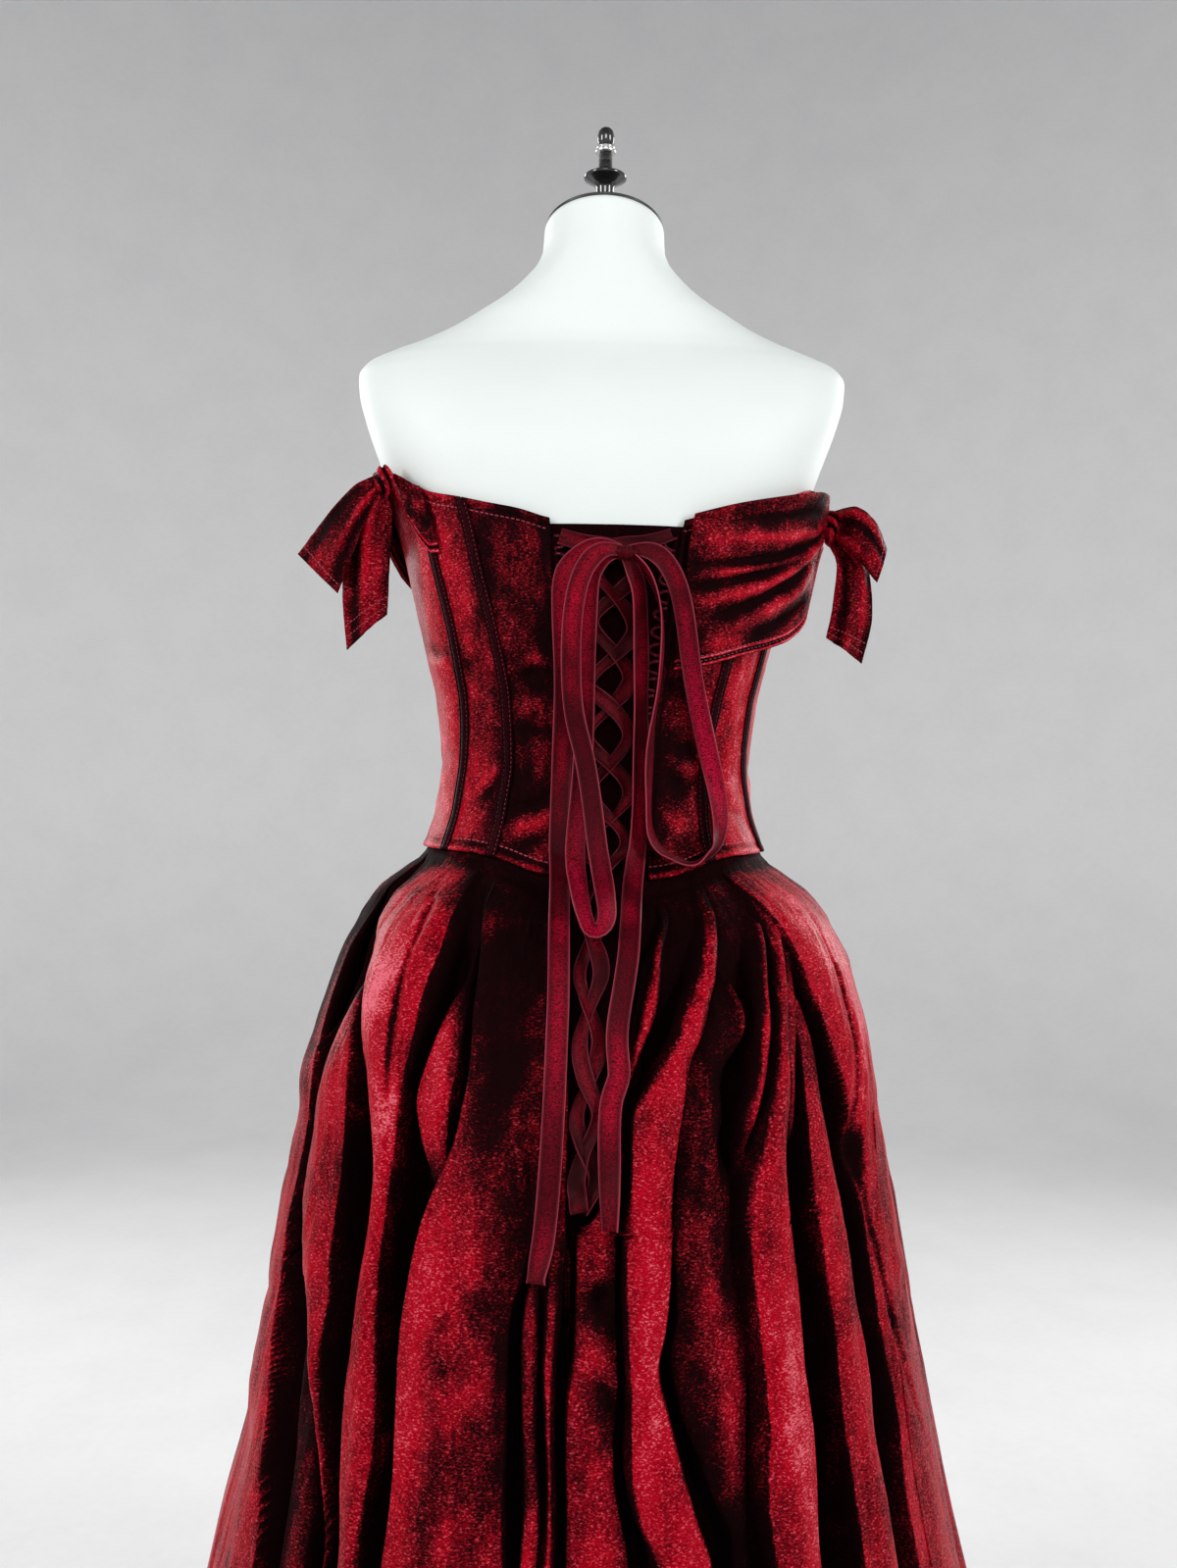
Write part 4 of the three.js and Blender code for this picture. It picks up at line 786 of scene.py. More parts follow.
def build_bodice():
    stitches = []
    fixed = lambda v: (lambda z: v + 0 * np.asarray(z, float))
    S = SEAM_AT
    panels = [
        ("back_center_L", S["backL"], S["gapL"], 46, 150), ("back_center_R", S["gapR"], S["backR"], 46, 150),
        ("back_side_L", S["sideL"], S["backL"], 40, 150), ("back_side_R", S["backR"], S["sideR"], 46, 150),
        ("side_L", fixed(-98), S["sideL"], 60, 120), ("side_R", S["sideR"], fixed(98), 44, 120),
        ("front_side_L", fixed(-142), fixed(-98), 46, 110), ("front_side_R", fixed(98), fixed(142), 46, 110),
        ("front_center", fixed(142), fixed(218), 90, 110),
    ]
    for k, (name, left, right, nu, nv) in enumerate(panels):
        A, Z, U, V = patch_grid(nu, nv, left, right, bottom_z, top_z)
        mm = 2.1
        H = crease_field(A, Z, BODICE_CREASES, mm)
        H += crease_field(A + 360, Z, BODICE_CREASES, mm) + crease_field(A - 360, Z, BODICE_CREASES, mm)
        H += 0.55 * smooth_noise(A.shape, (4, 14), 40 + k) * np.sin(np.pi * U) ** 0.5
        H += 0.9 * np.sin(np.pi * U) ** 0.8 - 0.5          # cloth swells between seams
        edge = np.minimum(np.minimum(U, 1 - U) * nu * 1.6, 1e9)
        H -= 0.5 * np.exp(-(edge / 1.2) ** 2)
        pucker = 0.28 * np.sin(Z / 1.9 + 3 * np.sin(Z / 17.0)) * np.exp(-edge / 5.0)
        H += pucker
        lowz = (Z - bottom_z(A))
        topd = (top_z(A) - Z)
        H += 0.7 * np.exp(-((lowz - 1.6) / 1.6) ** 2) - 0.5 * np.exp(-((lowz - 6.0) / 1.4) ** 2)
        H += 0.8 * np.exp(-((topd - 1.8) / 1.8) ** 2) - 0.5 * np.exp(-((topd - 6.5) / 1.4) ** 2)
        if name.startswith("back_center"):
            g = (1 - U if name.endswith("L") else U) * nu * 1.5
            H += 0.7 * np.exp(-((g - 2) / 2.0) ** 2) - 0.6 * np.exp(-((g - 7) / 1.4) ** 2)
        H = np.clip(H, -2.0, 3.4)
        P = torso(A, Z, panel_out(A, Z) + H)
        # painted light and shade: lighter on the sides facing the side lamps and on crease crests, darker at the seams
        # and a little above the bottom edge, a painted highlight along the bottom edge, with random tone
        side_lit = ramp(26, 50, np.abs(A)) * (1 - ramp(100, 150, fold180(A)))
        flank = ramp(47, 58, np.abs(A)) * (1 - ramp(98, 120, fold180(A)))
        painted_light_and_tone = 0.25 + 0.40 * side_lit + 0.32 * flank + 0.22 * H - 0.30 * np.exp(-(edge / 2.2) ** 2)
        painted_light_and_tone += 0.16 * smooth_noise(A.shape, (3, 12), 140 + k)
        painted_light_and_tone += 0.10 * np.exp(-((lowz - 1.6) / 1.4) ** 2) - 0.25 * np.exp(-((lowz - 6) / 2.0) ** 2)
        out = P * [1, 1, 0]
        ob = open_sheet("velvet_" + name, P, {"painted_light_and_tone": np.clip(painted_light_and_tone, 0, 1.15)}, VELVET, turn=1.7, under=3.0,
                        outward=out)
        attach(ob, "root")
        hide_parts("bodice_" + name)
        N = normals_of(P)
        if np.sum(N * out) < 0:
            N = -N
        stitches += stitch_parts(P[:, 5], N[:, 5])
        stitches += stitch_parts(P[:, -6], N[:, -6])

    # modesty panel behind the lacing, in soft upright folds, in velvet painted dark for the shade of the opening
    low, high = (-15.0, 23.0), (-24.0, 34.0)
    edge_l = lambda z: lerp(low[0], high[0], ramp(970, 1040, z))
    edge_r = lambda z: lerp(low[1], high[1], ramp(970, 1040, z))
    A, Z, U, V = patch_grid(70, 110, edge_l, edge_r, lambda a: 936 + 0 * a, lambda a: 1208 + 0 * a)
    H = 0.35 * np.sin(A / 1.7 + 1.3 * np.sin(Z / 40)) * np.sin(np.pi * U)
    ob = open_sheet("modesty_cloth", torso(A, Z, 1.75 + H * 0.5), None, VELVET_PAINTED_SHADE, turn=0.8, under=2,
                    outward=torso(A, Z, 0) * [1, 1, 0])
    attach(ob, "root")
    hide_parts("modesty_panel")

    # boning channels: flat tapes with a bone's swell and two lines of stitches
    for name, line in (("back_L", "backL"), ("back_R", "backR"), ("side_L", "sideL"), ("side_R", "sideR")):
        half = 4.2
        lf = lambda z, s=-1: S[line](z) + s * half * deg_per_mm(S[line](z), z, 4)
        rf = lambda z, s=1: S[line](z) + s * half * deg_per_mm(S[line](z), z, 4)
        A, Z, U, V = patch_grid(16, 150, lf, rf, lambda a: bottom_z(a) + 0.4, lambda a: top_z(a) - 1, 0)
        w = np.abs(U - 0.5) * 2
        H = 0.55 * np.exp(-(w / 0.42) ** 4) - 0.45 * np.exp(-((w - 0.68) / 0.12) ** 2) + 0.1 * (w > 0.85)
        H = H + 0.12 * np.sin(Z / 1.6 + np.sin(Z / 9)) * np.exp(-((w - 0.68) / 0.2) ** 2)
        P = torso(A, Z, panel_out(A, Z) + 0.3 + 1.1 + np.clip(H, -0.5, 0.6))
        out = P * [1, 1, 0]
        ob = open_sheet("channel_tape_" + name, P, None, CHANNEL, turn=1.2, under=0.8, outward=out)
        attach(ob, "root")
        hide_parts("channel_" + name)
        N = normals_of(P)
        if np.sum(N * out) < 0:
            N = -N
        for i in (3, 13):
            stitches += stitch_parts(P[i] - N[i] * 0.1, N[i], 2.2, 1.2, 0.4, 0.3)

    # loop tapes: a narrow tape, in velvet painted dark for the shade of the opening, with a row of rouleau loops
    for side, line, sign in (("L", "gapL", 1), ("R", "gapR", -1)):
        at = lambda z, reach: S[line](z) + sign * reach * deg_per_mm(0.0, z, 3)
        la, lb = (lambda z: at(z, 0.4)), (lambda z: at(z, 4.2))
        if sign < 0:
            la, lb = lb, la
        A, Z, U, V = patch_grid(6, 110, la, lb, lambda a: 974 + 0 * a, lambda a: 1202 + 0 * a, 0)
        ob = shell("loop_tape_cloth_" + side, torso(A, Z, 3.4), 1.1, None, VELVET_PAINTED_SHADE,
                   outward=torso(A, Z, 0) * [1, 1, 0])
        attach(ob, "root")
        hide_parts("loop_tape_" + side)
        parts = []
        z0 = 984.0
        while z0 < 1198:
            t = np.linspace(0, 1, 15)
            reach = 2.0 + 9.0 * np.sin(np.pi * t) ** 0.75
            zz = z0 + 9.0 * (t - 0.5) * (1 + 0.25 * np.sin(np.pi * t))
            off = 3.2 + 1.6 * np.sin(np.pi * t)
            P = torso(at(zz, reach), zz, off)
            parts.append(tube(P, 1.15, 7))
            z0 += 12.4
        loops = join_parts("rouleau_loops_" + side, parts, RIBBON_CORD)
        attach(loops, "root")
    st = join_parts("bodice_stitches", stitches, THREAD)
    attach(st, "root")


RIBBON_CORD = velvet("rouleau_cord", (0.012, 0.0002, 0.0012), (0.050, 0.0004, 0.0050), (0.22, 0.04, 0.06),
                     sheen=0.0, spec=0.25, with_painted_light=False, bump_mm=0.3)

# --------------------------------------------------------------------- skirt
SKIRT_AT = table_curves("z half back front", [
    [15, 352, 366, 330], [240, 308, 321, 287], [457, 266, 278, 248], [600, 239, 248, 220],
    [745, 217, 222, 198], [820, 208, 208, 188], [880, 192, 186, 170], [918, 177, 165, 155],
    [942, 161, 139, 136], [953, 147, 121, 119], [962, 136, 104, 104],
])
VALLEY = curve([15, 600, 745, 820, 870, 900, 920, 945, 962],
               [-32, -26, -24, -22, -19, -15, -11, -5, -1.5])
PLACKET_END = 745
PLACKET_L = curve([745, 752, 783, 860, 920, 955, 985], [-3.5, -3, -2.6, -3, -4, -6.6, -10.2])
PLACKET_R = curve([745, 752, 783, 860, 920, 955, 985], [-3.5, 0.3, 3.9, 5, 5.8, 10, 15.4])
CB_SEAM = curve([15, 600, 745], [-3.6, -3.5, -3.5])

# Folds of the back: height, left and right edge, and how far the cloth stands
# out at the left edge, in the middle and at the right edge.
BACK_FOLDS = {
    "left_edge": [(960, -82, -71, 2, 3, 2), (907, -82, -68.5, 9, 12, 9), (850, -81, -66, 10, 13, 11),
                  (799, -81, -62.5, 11, 14, 11), (742, -80, -64, 11, 15, 12), (688, -80, -64, 12, 16, 12),
                  (638, -80, -62.5, 13, 17, 13), (600, -80, -58.5, 14, 17, 12),
                  (560, -80, -55.5, 14, 18, 12), (509, -80, -53, 15, 19, 12), (15, -80, -55, 22, 27, 20)],
    "left_low": [(880, -60, -59.6, -20, -20, -20), (740, -60.5, -59, -14, -12, -14),
                 (690, -58.5, -54.5, -8, -5, -8), (640, -55.5, -50.5, -6, -3, -6),
                 (590, -52, -46.5, -4, 0, -4), (540, -49.5, -44, -3, 1, -3), (15, -49, -43, 4, 12, 6)],
    "left_one": [(900, -58, -57.5, -16, -16, -16), (870, -57, -53.5, 0, 3, 0),
                 (830, -56.8, -48.5, 8, 12, 9), (782, -59, -46, 10, 14, 10), (748, -58.7, -46, 11, 14, 10),
                 (714, -54.5, -46, 11, 15, 11), (681, -50.5, -44.8, 11, 14, 10),
                 (648, -47.5, -44.2, 10, 13, 9), (616, -44.8, -43.2, 8, 10, 7),
                 (575, -41.5, -40.8, 5, 6, 4), (534, -38.8, -38.1, 4, 5, 3), (15, -37.5, -36.5, 2, 4, 0)],
    "left_puff": [(962, -61, -36, 2, 3, 2), (940, -58.5, -33, 7, 9, 7), (912, -51, -31.8, 12, 18, 11),
                  (886, -48.2, -32.5, 15, 21, 12), (856, -44.8, -33.2, 13, 20, 11),
                  (827, -41.2, -33.5, 12, 17, 10), (798, -38.8, -33.8, 11, 14, 9),
                  (768, -37.6, -33.9, 10, 13, 9), (732, -37.6, -33.8, 10, 13, 10),
                  (690, -38, -33, 11, 15, 11), (649, -37.5, -31.8, 12, 16, 12),
                  (604, -36, -30.5, 13, 17, 13), (542, -34, -30, 14, 18, 14), (15, -33, -27, 20, 27, 20)],
    "left_short": [(930, -27, -26.6, -10, -10, -10), (900, -26.5, -25, -4, -2, -4),
                   (875, -28.8, -24.1, 2, 5, 1), (845, -29.5, -23.8, 6, 9, 4),
                   (821, -30.2, -24.1, 7, 10, 5), (798, -29, -24.2, 5, 8, 4),
                   (775, -27.2, -24.5, 0, 2, 0), (755, -27.6, -27, -14, -14, -14)],
    "left_broad": [(962, -30, -10, 1, 1, 1), (920, -24, -9, 4, 5, 4), (880, -22.5, -8.5, 5, 7, 5),
                   (840, -21.5, -8, 6, 8, 5), (801, -22.2, -8, 8, 9, 4), (768, -25.2, -8.5, 12, 10, 2),
                   (746, -26.5, -9.2, 13, 11, 1), (716, -27.5, -10.8, 14, 12, 0),
                   (682, -28, -11.5, 15, 13, 0), (648, -27.8, -11.5, 16, 14, 1),
                   (614, -27.2, -11.5, 17, 14, 2), (582, -26.8, -11, 18, 14, 3),
                   (551, -26.5, -10.5, 18, 14, 4), (15, -24, -10, 27, 20, 10)],
    "strip": [(725, -9.2, -8, -10, -10, -10), (703, -9.6, -7.4, 3, 5, 3), (640, -9, -7.3, 4, 6, 4),
              (566, -7.6, -6.1, 5, 7, 5), (15, -7.5, -6, 12, 14, 12)],
    "strip_edge": [(745, -6.3, -4.6, 0, 2, 0), (704, -6.2, -4.3, 3, 6, 4), (566, -5.4, -4.2, 6, 9, 7),
                   (15, -5.4, -4.1, 12, 15, 13)],
    "placket_side": [(955, -10, -7, 1, 1, 1), (900, -9.5, -4, 3, 4, 3), (745, -9, -3.6, 2, 4, 3),
                     (700, -9, -3.6, -4, -3, -4)],
    "hook": [(950, 17.8, 19.8, 1, 2, 1), (927, 13, 15.6, 4, 7, 4), (903, 10.6, 13.6, 6, 10, 6),
             (880, 8.8, 11.5, 6, 9, 6), (863, 7.4, 9.5, 5, 7, 4), (845, 6.4, 7.6, 2, 3, 2),
             (825, 5.6, 6.4, 0, 0, 0), (783, 4.6, 6, 1, 1, 1), (745, -1.5, 4.8, 2, 3, 0),
             (690, -2, 4.6, 3, 4, 1), (620, -2, 4.8, 4, 5, 2), (560, -2, 6.8, 5, 6, 3),
             (15, -2, 8, 12, 14, 10)],
    "right_broad": [(958, 30, 33, 1, 2, 1), (940, 27, 30.5, 3, 5, 3), (920, 22.8, 27, 6, 10, 6),
                    (892, 18.2, 23, 9, 14, 9), (873, 15.6, 20.5, 10, 15, 10), (845, 11.2, 16.8, 11, 16, 11),
                    (818, 7.3, 15, 11, 16, 11), (784, 7, 14, 11, 15, 12), (749, 6.3, 13.2, 10, 15, 13),
                    (704, 6.2, 11.9, 11, 15, 13), (671, 6.2, 11, 11, 14, 12), (644, 6.2, 12, 11, 15, 13),
                    (616, 6.6, 13.2, 12, 16, 14), (589, 7.8, 14.8, 12, 17, 14),
                    (562, 10, 16.8, 13, 18, 15), (15, 12, 22, 18, 27, 20)],
    "right_dim": [(900, 24.5, 30, -4, -2, -4), (880, 22.5, 31, -3, 0, -2), (828, 16.5, 24.5, -4, 0, -3),
                  (782, 15.4, 25.2, -4, 1, -3), (736, 14.7, 25.7, -4, 0, -4), (698, 15, 26, -5, -1, -4),
                  (670, 13.6, 26, -5, -1, -4), (642, 14.7, 25.8, -5, -1, -4),
                  (614, 17.4, 25.8, -5, -1, -4), (586, 20, 25.6, -5, -2, -5),
                  (559, 22.2, 25.6, -8, -6, -8), (15, 23.5, 25, -14, -12, -14)],
    "right_short": [(930, 40.5, 42, 2, 3, 2), (907, 36.5, 38.8, 5, 8, 5), (880, 34, 36.2, 6, 9, 6),
                    (840, 30, 32.4, 7, 10, 7), (798, 26.2, 28.4, 6, 9, 5), (775, 25.8, 27.5, 0, 1, 0),
                    (765, 26, 26.3, -18, -18, -18)],
    "right_one": [(945, 44, 46.8, 1, 2, 1), (930, 42.6, 46.5, 3, 6, 4), (905, 40, 43, 6, 10, 7),
                  (880, 37.6, 40.4, 8, 12, 9), (840, 33.8, 37, 10, 14, 11), (811, 30.6, 35, 11, 15, 12),
                  (790, 29, 34.4, 11, 15, 12), (773, 26.8, 34.1, 10, 15, 12), (744, 26.2, 34, 10, 15, 12),
                  (704, 26.7, 34.5, 11, 15, 12), (669, 26.8, 34.1, 11, 16, 13),
                  (620, 26.9, 34.2, 12, 17, 13), (576, 26.8, 34.2, 13, 17, 14),
                  (546, 27, 34.1, 13, 18, 14), (15, 27, 35, 20, 27, 21)],
    "right_small": [(915, 45.5, 47.5, 2, 3, 1), (880, 41, 44.5, 4, 6, 2), (840, 37.6, 41, 4, 7, 0),
                    (800, 36, 39.3, -2, 2, -6), (770, 36, 38, -18, -18, -18)],
    "right_two": [(880, 43.5, 46, 2, 4, 2), (850, 42, 46.5, 5, 7, 4), (820, 41, 46, 6, 8, 5),
                  (780, 40.5, 45.8, 8, 10, 8), (741, 41, 47, 9, 12, 11), (704, 41.2, 47, 10, 13, 12),
                  (654, 41.5, 47.8, 10, 14, 13), (618, 41.6, 47.8, 11, 15, 14),
                  (580, 41.8, 48.5, 12, 16, 15), (545, 42, 48.5, 13, 17, 15), (15, 42, 50, 20, 26, 22)],
    "right_puff": [(965, 42.5, 78, 1, 2, 1), (948, 44.5, 78, 5, 8, 5), (923, 46, 76, 10, 17, 12),
                   (892, 47, 75, 12, 20, 16), (853, 49, 74, 12, 20, 17), (813, 51.8, 73, 10, 18, 15),
                   (773, 53.5, 72, 9, 16, 14), (734, 54.2, 72, 9, 16, 13), (682, 54.5, 72, 10, 17, 13),
                   (600, 55.8, 72, 12, 18, 14), (15, 55, 72, 20, 27, 22)],
    "right_edge": [(965, 78.5, 84, 1, 2, 1), (900, 77.5, 84, 8, 12, 9), (745, 75, 82, 10, 14, 11),
                   (15, 74.5, 82, 18, 24, 20)],
}
# Folds of the sides and front: crest angles at z 960 880 745 600 15, then how
# far they stand out at 880 745 600 15 and their half width in degrees.
SIDE_FOLDS = [
    (88, 86, 84, 83, 83, 12, 13, 16, 24, 4.0), (102, 101, 100, 101, 101, 12, 16, 18, 26, 4.9),
    (117, 118, 118, 119, 119, 13, 16, 18, 26, 5.6), (134, 136, 137, 138, 138, 13, 17, 19, 26, 5.2),
    (153, 154, 155, 157, 157, 12, 15, 18, 25, 6.0), (172, 174, 175, 177, 178, 13, 16, 18, 26, 5.5),
    (194, 195, 195, 197, 198, 12, 16, 19, 26, 6.1), (213, 213, 215, 217, 217, 13, 16, 18, 25, 5.2),
    (232, 232, 234, 236, 236, 12, 15, 18, 26, 5.6), (251, 251, 252, 253, 252, 13, 16, 18, 26, 5.0),
    (268, 269, 271, 270, 270, 12, 15, 17, 25, 4.6),
]
SKIRT_DENTS = [(30, 882, 6, 1.6, 28), (25.8, 792, -14, 2.2, 16), (54, 778, -12, 1.6, 22),
               (2.3, 708, -8, 2.2, 9), (-14.5, 838, -3, 2.4, 18), (-17, 700, -3, 3, 16)]
SKIRT_CREASES = [
    ([(-45.8, 956), (-40.2, 940), (-38.2, 922), (-37.5, 903), (-36.8, 878), (-35.8, 842), (-35, 812)], -4.0, 2.6),
    ([(57, 930), (56, 850), (53.5, 790)], -3.5, 2.6),
    ([(54.2, 760), (56.5, 712), (57.8, 665), (60, 623), (62, 586)], -3.2, 2.6),
    ([(-69, 600), (-68.4, 420), (-69.5, 200), (-68, 20)], 2.2, 3.0),
    ([(-24, 720), (-19, 706), (-13, 700)], -2.2, 8), ([(-26, 668), (-20, 652), (-14, 656)], 2.0, 8),
    ([(-22, 800), (-16, 786), (-11, 790)], 1.6, 7), ([(-20, 862), (-15, 852), (-10, 858)], -1.5, 7),
    ([(-25, 610), (-19, 598), (-12, 606)], -1.8, 9),
    ([(0, 688), (3, 672), (6.4, 660), (10.5, 664)], 3.0, 5), ([(-1, 668), (3, 655), (6.5, 640)], -2.6, 6),
    ([(0, 640), (4, 620), (9, 612)], 2.0, 7), ([(8, 700), (11, 690), (13, 694)], 1.5, 8),
    ([(19, 720), (22, 700), (24.5, 704)], 2.0, 7), ([(17, 660), (21, 650), (25, 656)], -1.6, 8),
    ([(60, 700), (66, 688), (71, 694)], 1.6, 9), ([(62, 800), (67, 792), (72, 800)], -1.6, 9),
    ([(-78, 760), (-72, 748), (-66, 756)], 1.5, 9), ([(-80, 660), (-73, 650), (-66, 655)], -1.5, 9),
]


# Painted light and shade round the top of the skirt, by angle: dark in the shade under the bodice, light on the side
# puffs.
WAIST_PAINTED_LIGHT = curve([-180, -98, -80, -70, -60, -50, -42, -34, -10, 20, 28, 36, 42, 48, 60, 74, 85, 98, 180],
                  [.4, .35, .3, .3, .35, .75, .72, .14, .08, .10, .24, .2, .28, .6, .7, .6, .4, .35, .4])
# How much closer than the folds' own table the two flanks hang.
HANG_L = curve([15, 410, 440, 500, 562, 592, 640, 685, 715, 746, 777, 807, 838, 870, 900, 915, 930, 948, 962],
               [4, 5.4, 7.5, 7.7, 10.4, 6.2, 6, 3, 2.6, 5.5, 7.4, 3, 5.8, 6, 6.2, 8, 6.5, 1.5, 0])
HANG_R = curve([15, 410, 440, 500, 592, 654, 715, 746, 777, 807, 838, 869, 885, 900, 915, 930, 948, 962],
               [-5, -6.4, -4.4, -1.8, -1.4, 0, 0.4, 3, 5.4, 7, 8.2, 7.7, 7.4, 5.6, 5.6, 2.6, 0.6, 0])
# Spots of painted light and shade on the skirt: angle, level, amount, half angle, half height.
PAINTED_LIGHT_SPOTS = [
    (-43.5, 892, 0.36, 7.5, 52), (-37, 800, 0.24, 3.0, 45), (-71, 888, -0.30, 9, 56),
    (-26.5, 822, 0.20, 2.6, 34), (-17, 905, -0.62, 9, 48), (-15, 822, -0.44, 6.5, 50),
    (-12.5, 752, -0.30, 5, 40), (-25, 650, 0.24, 3.0, 95), (-14.5, 640, -0.26, 5, 46),
    (-22, 668, -0.34, 3.6, 15), (-16, 560, -0.20, 5, 34), (-22, 470, 0.15, 4, 90),
    (3, 700, -0.30, 3, 14), (2, 640, -0.18, 3, 30), (10, 700, 0.16, 2.6, 90),
    (22, 870, -0.24, 4, 50), (20, 720, 0.30, 4.5, 60), (21, 620, 0.34, 3.2, 70), (27.5, 760, -0.18, 2.0, 22),
    (31, 650, 0.20, 2.4, 90), (32, 850, -0.16, 3, 40), (44.5, 690, -0.20, 3, 90),
    (57, 905, 0.30, 8, 42), (69, 840, 0.34, 7, 60), (70, 720, 0.30, 6, 90), (61, 760, -0.24, 4, 60),
    (58, 640, -0.16, 3, 60), (-66, 760, -0.14, 6, 30), (-70, 690, 0.16, 7, 50),
    (-66, 610, -0.20, 6, 30), (-73, 500, 0.14, 7, 80),
]


def fold_rows():
    out = [("back", rows, 1.3) for rows in BACK_FOLDS.values()]
    r = np.random.RandomState(19)
    for q, f in enumerate(SIDE_FOLDS):
        c, h, w = f[:5], (2.5,) + f[5:9], f[9] * r.uniform(0.74, 1.16)
        lean = r.uniform(0.5, 0.86, 2)
        rows = []
        for k, z in enumerate((960, 880, 745, 600, 15)):
            a, b = r.uniform(-0.9, 0.9, 2)
            ww = w * (0.62 + 0.38 * k / 4)
            rows.append((z, c[k] - ww + a, c[k] + ww + b, h[k] * lean[0], h[k], h[k] * lean[1]))
            if k == 3:
                for zz in (460, 320, 180):
                    a, b, d = r.uniform(-1.5, 1.5, 3)
                    t = (600 - zz) / 585
                    hh = lerp(h[3], h[4], t) * r.uniform(0.9, 1.0)
                    cc = lerp(c[3], c[4], t) + d
                    rows.append((zz, cc - w + a, cc + w + b, hh * lean[0], hh, hh * lean[1]))
        out.append(("side", rows, 2.2))
        # a smaller fold beside it, which dies out upwards or downwards
        if q == len(SIDE_FOLDS) - 1:
            continue
        m = [(c[k] + SIDE_FOLDS[q + 1][k]) / 2 + r.uniform(-0.7, 0.7) for k in range(5)]
        if q % 3 == 1:
            small = [(960, m[0], 2), (880, m[1], 3), (745, m[2], -1), (640, m[3], -9), (560, m[3], -26)]
        elif q % 3 == 2:
            small = [(640, m[3], -27), (520, m[3], -13), (340, (m[3] + m[4]) / 2, -1), (15, m[4], 11)]
        else:
            small = [(960, m[0], -1), (880, m[1], -6), (700, m[2], -11), (420, m[3], -5), (15, m[4], 5)]
        g = r.uniform(1.0, 1.7)
        out.append(("side", [(z, x - g, x + g, y - 1.5, y, y - 1.5) for z, x, y in small], 1.7))
    return out


FOLD_ROWS = fold_rows()


def skirt_height(A, L):
    """How far the cloth stands out of the skirt's mean surface."""
    A, L = np.broadcast_arrays(np.asarray(A, float), np.asarray(L, float))
    W = 0.35 * np.sin(A * 0.9 + L / 37.0) + 0.25 * np.sin(L / 19.0 + A * 0.31)
    near = ramp(600, 960, L)
    A2 = A + W * (1 - near * 0.6)
    parts = [VALLEY(L)]
    for kind, rows, soft in FOLD_ROWS:
        a = A2 if kind == "back" else A2 % 360
        t = np.array(rows, float)[::-1]
        lo, hi, hl, hm, hr = (curve(t[:, 0], t[:, i])(L) for i in range(1, 6))
        over = np.maximum(0, L - t[-1, 0]) * (t[-1, 0] < 957) + np.maximum(0, t[0, 0] - L)
        s = np.clip((a - lo) / (hi - lo), 0, 1)
        d = np.maximum(np.maximum(lo - a, a - hi), 0)
        h = hl * (1 - s) * (1 - 2 * s) + hm * 4 * s * (1 - s) + hr * s * (2 * s - 1)
        parts.append(h - 45 * (d / soft) ** 1.5 - 0.9 * over)
    k = 1.2
    m = np.maximum.reduce([np.broadcast_to(p, A.shape) for p in parts])
    H = m + k * np.log(sum(np.exp(np.maximum(p - m, -60) / k) for p in parts))
    H = np.maximum(H, VALLEY(L) - 2)
    for a0, z0, amp, sa, sz in SKIRT_DENTS:
        H = H + amp * np.exp(-((A - a0) / sa) ** 2 - ((L - z0) / sz) ** 2)
    flank = ramp(52, 72, np.abs(A)) * (1 - ramp(108, 132, np.abs(A)))
    return H - flank * np.where(A < 0, HANG_L(L), HANG_R(L))


def skirt_place(A, L, H):
    z = L - (973 - bottom_z(A)) * ramp(800, 940, L)
    P = section(A, z, SKIRT_AT["half"](L), SKIRT_AT["back"](L), SKIRT_AT["front"](L), 2.1, H)
    return lerp(P, torso(A, z, 3.6), ramp(956, 970, L)[..., None])


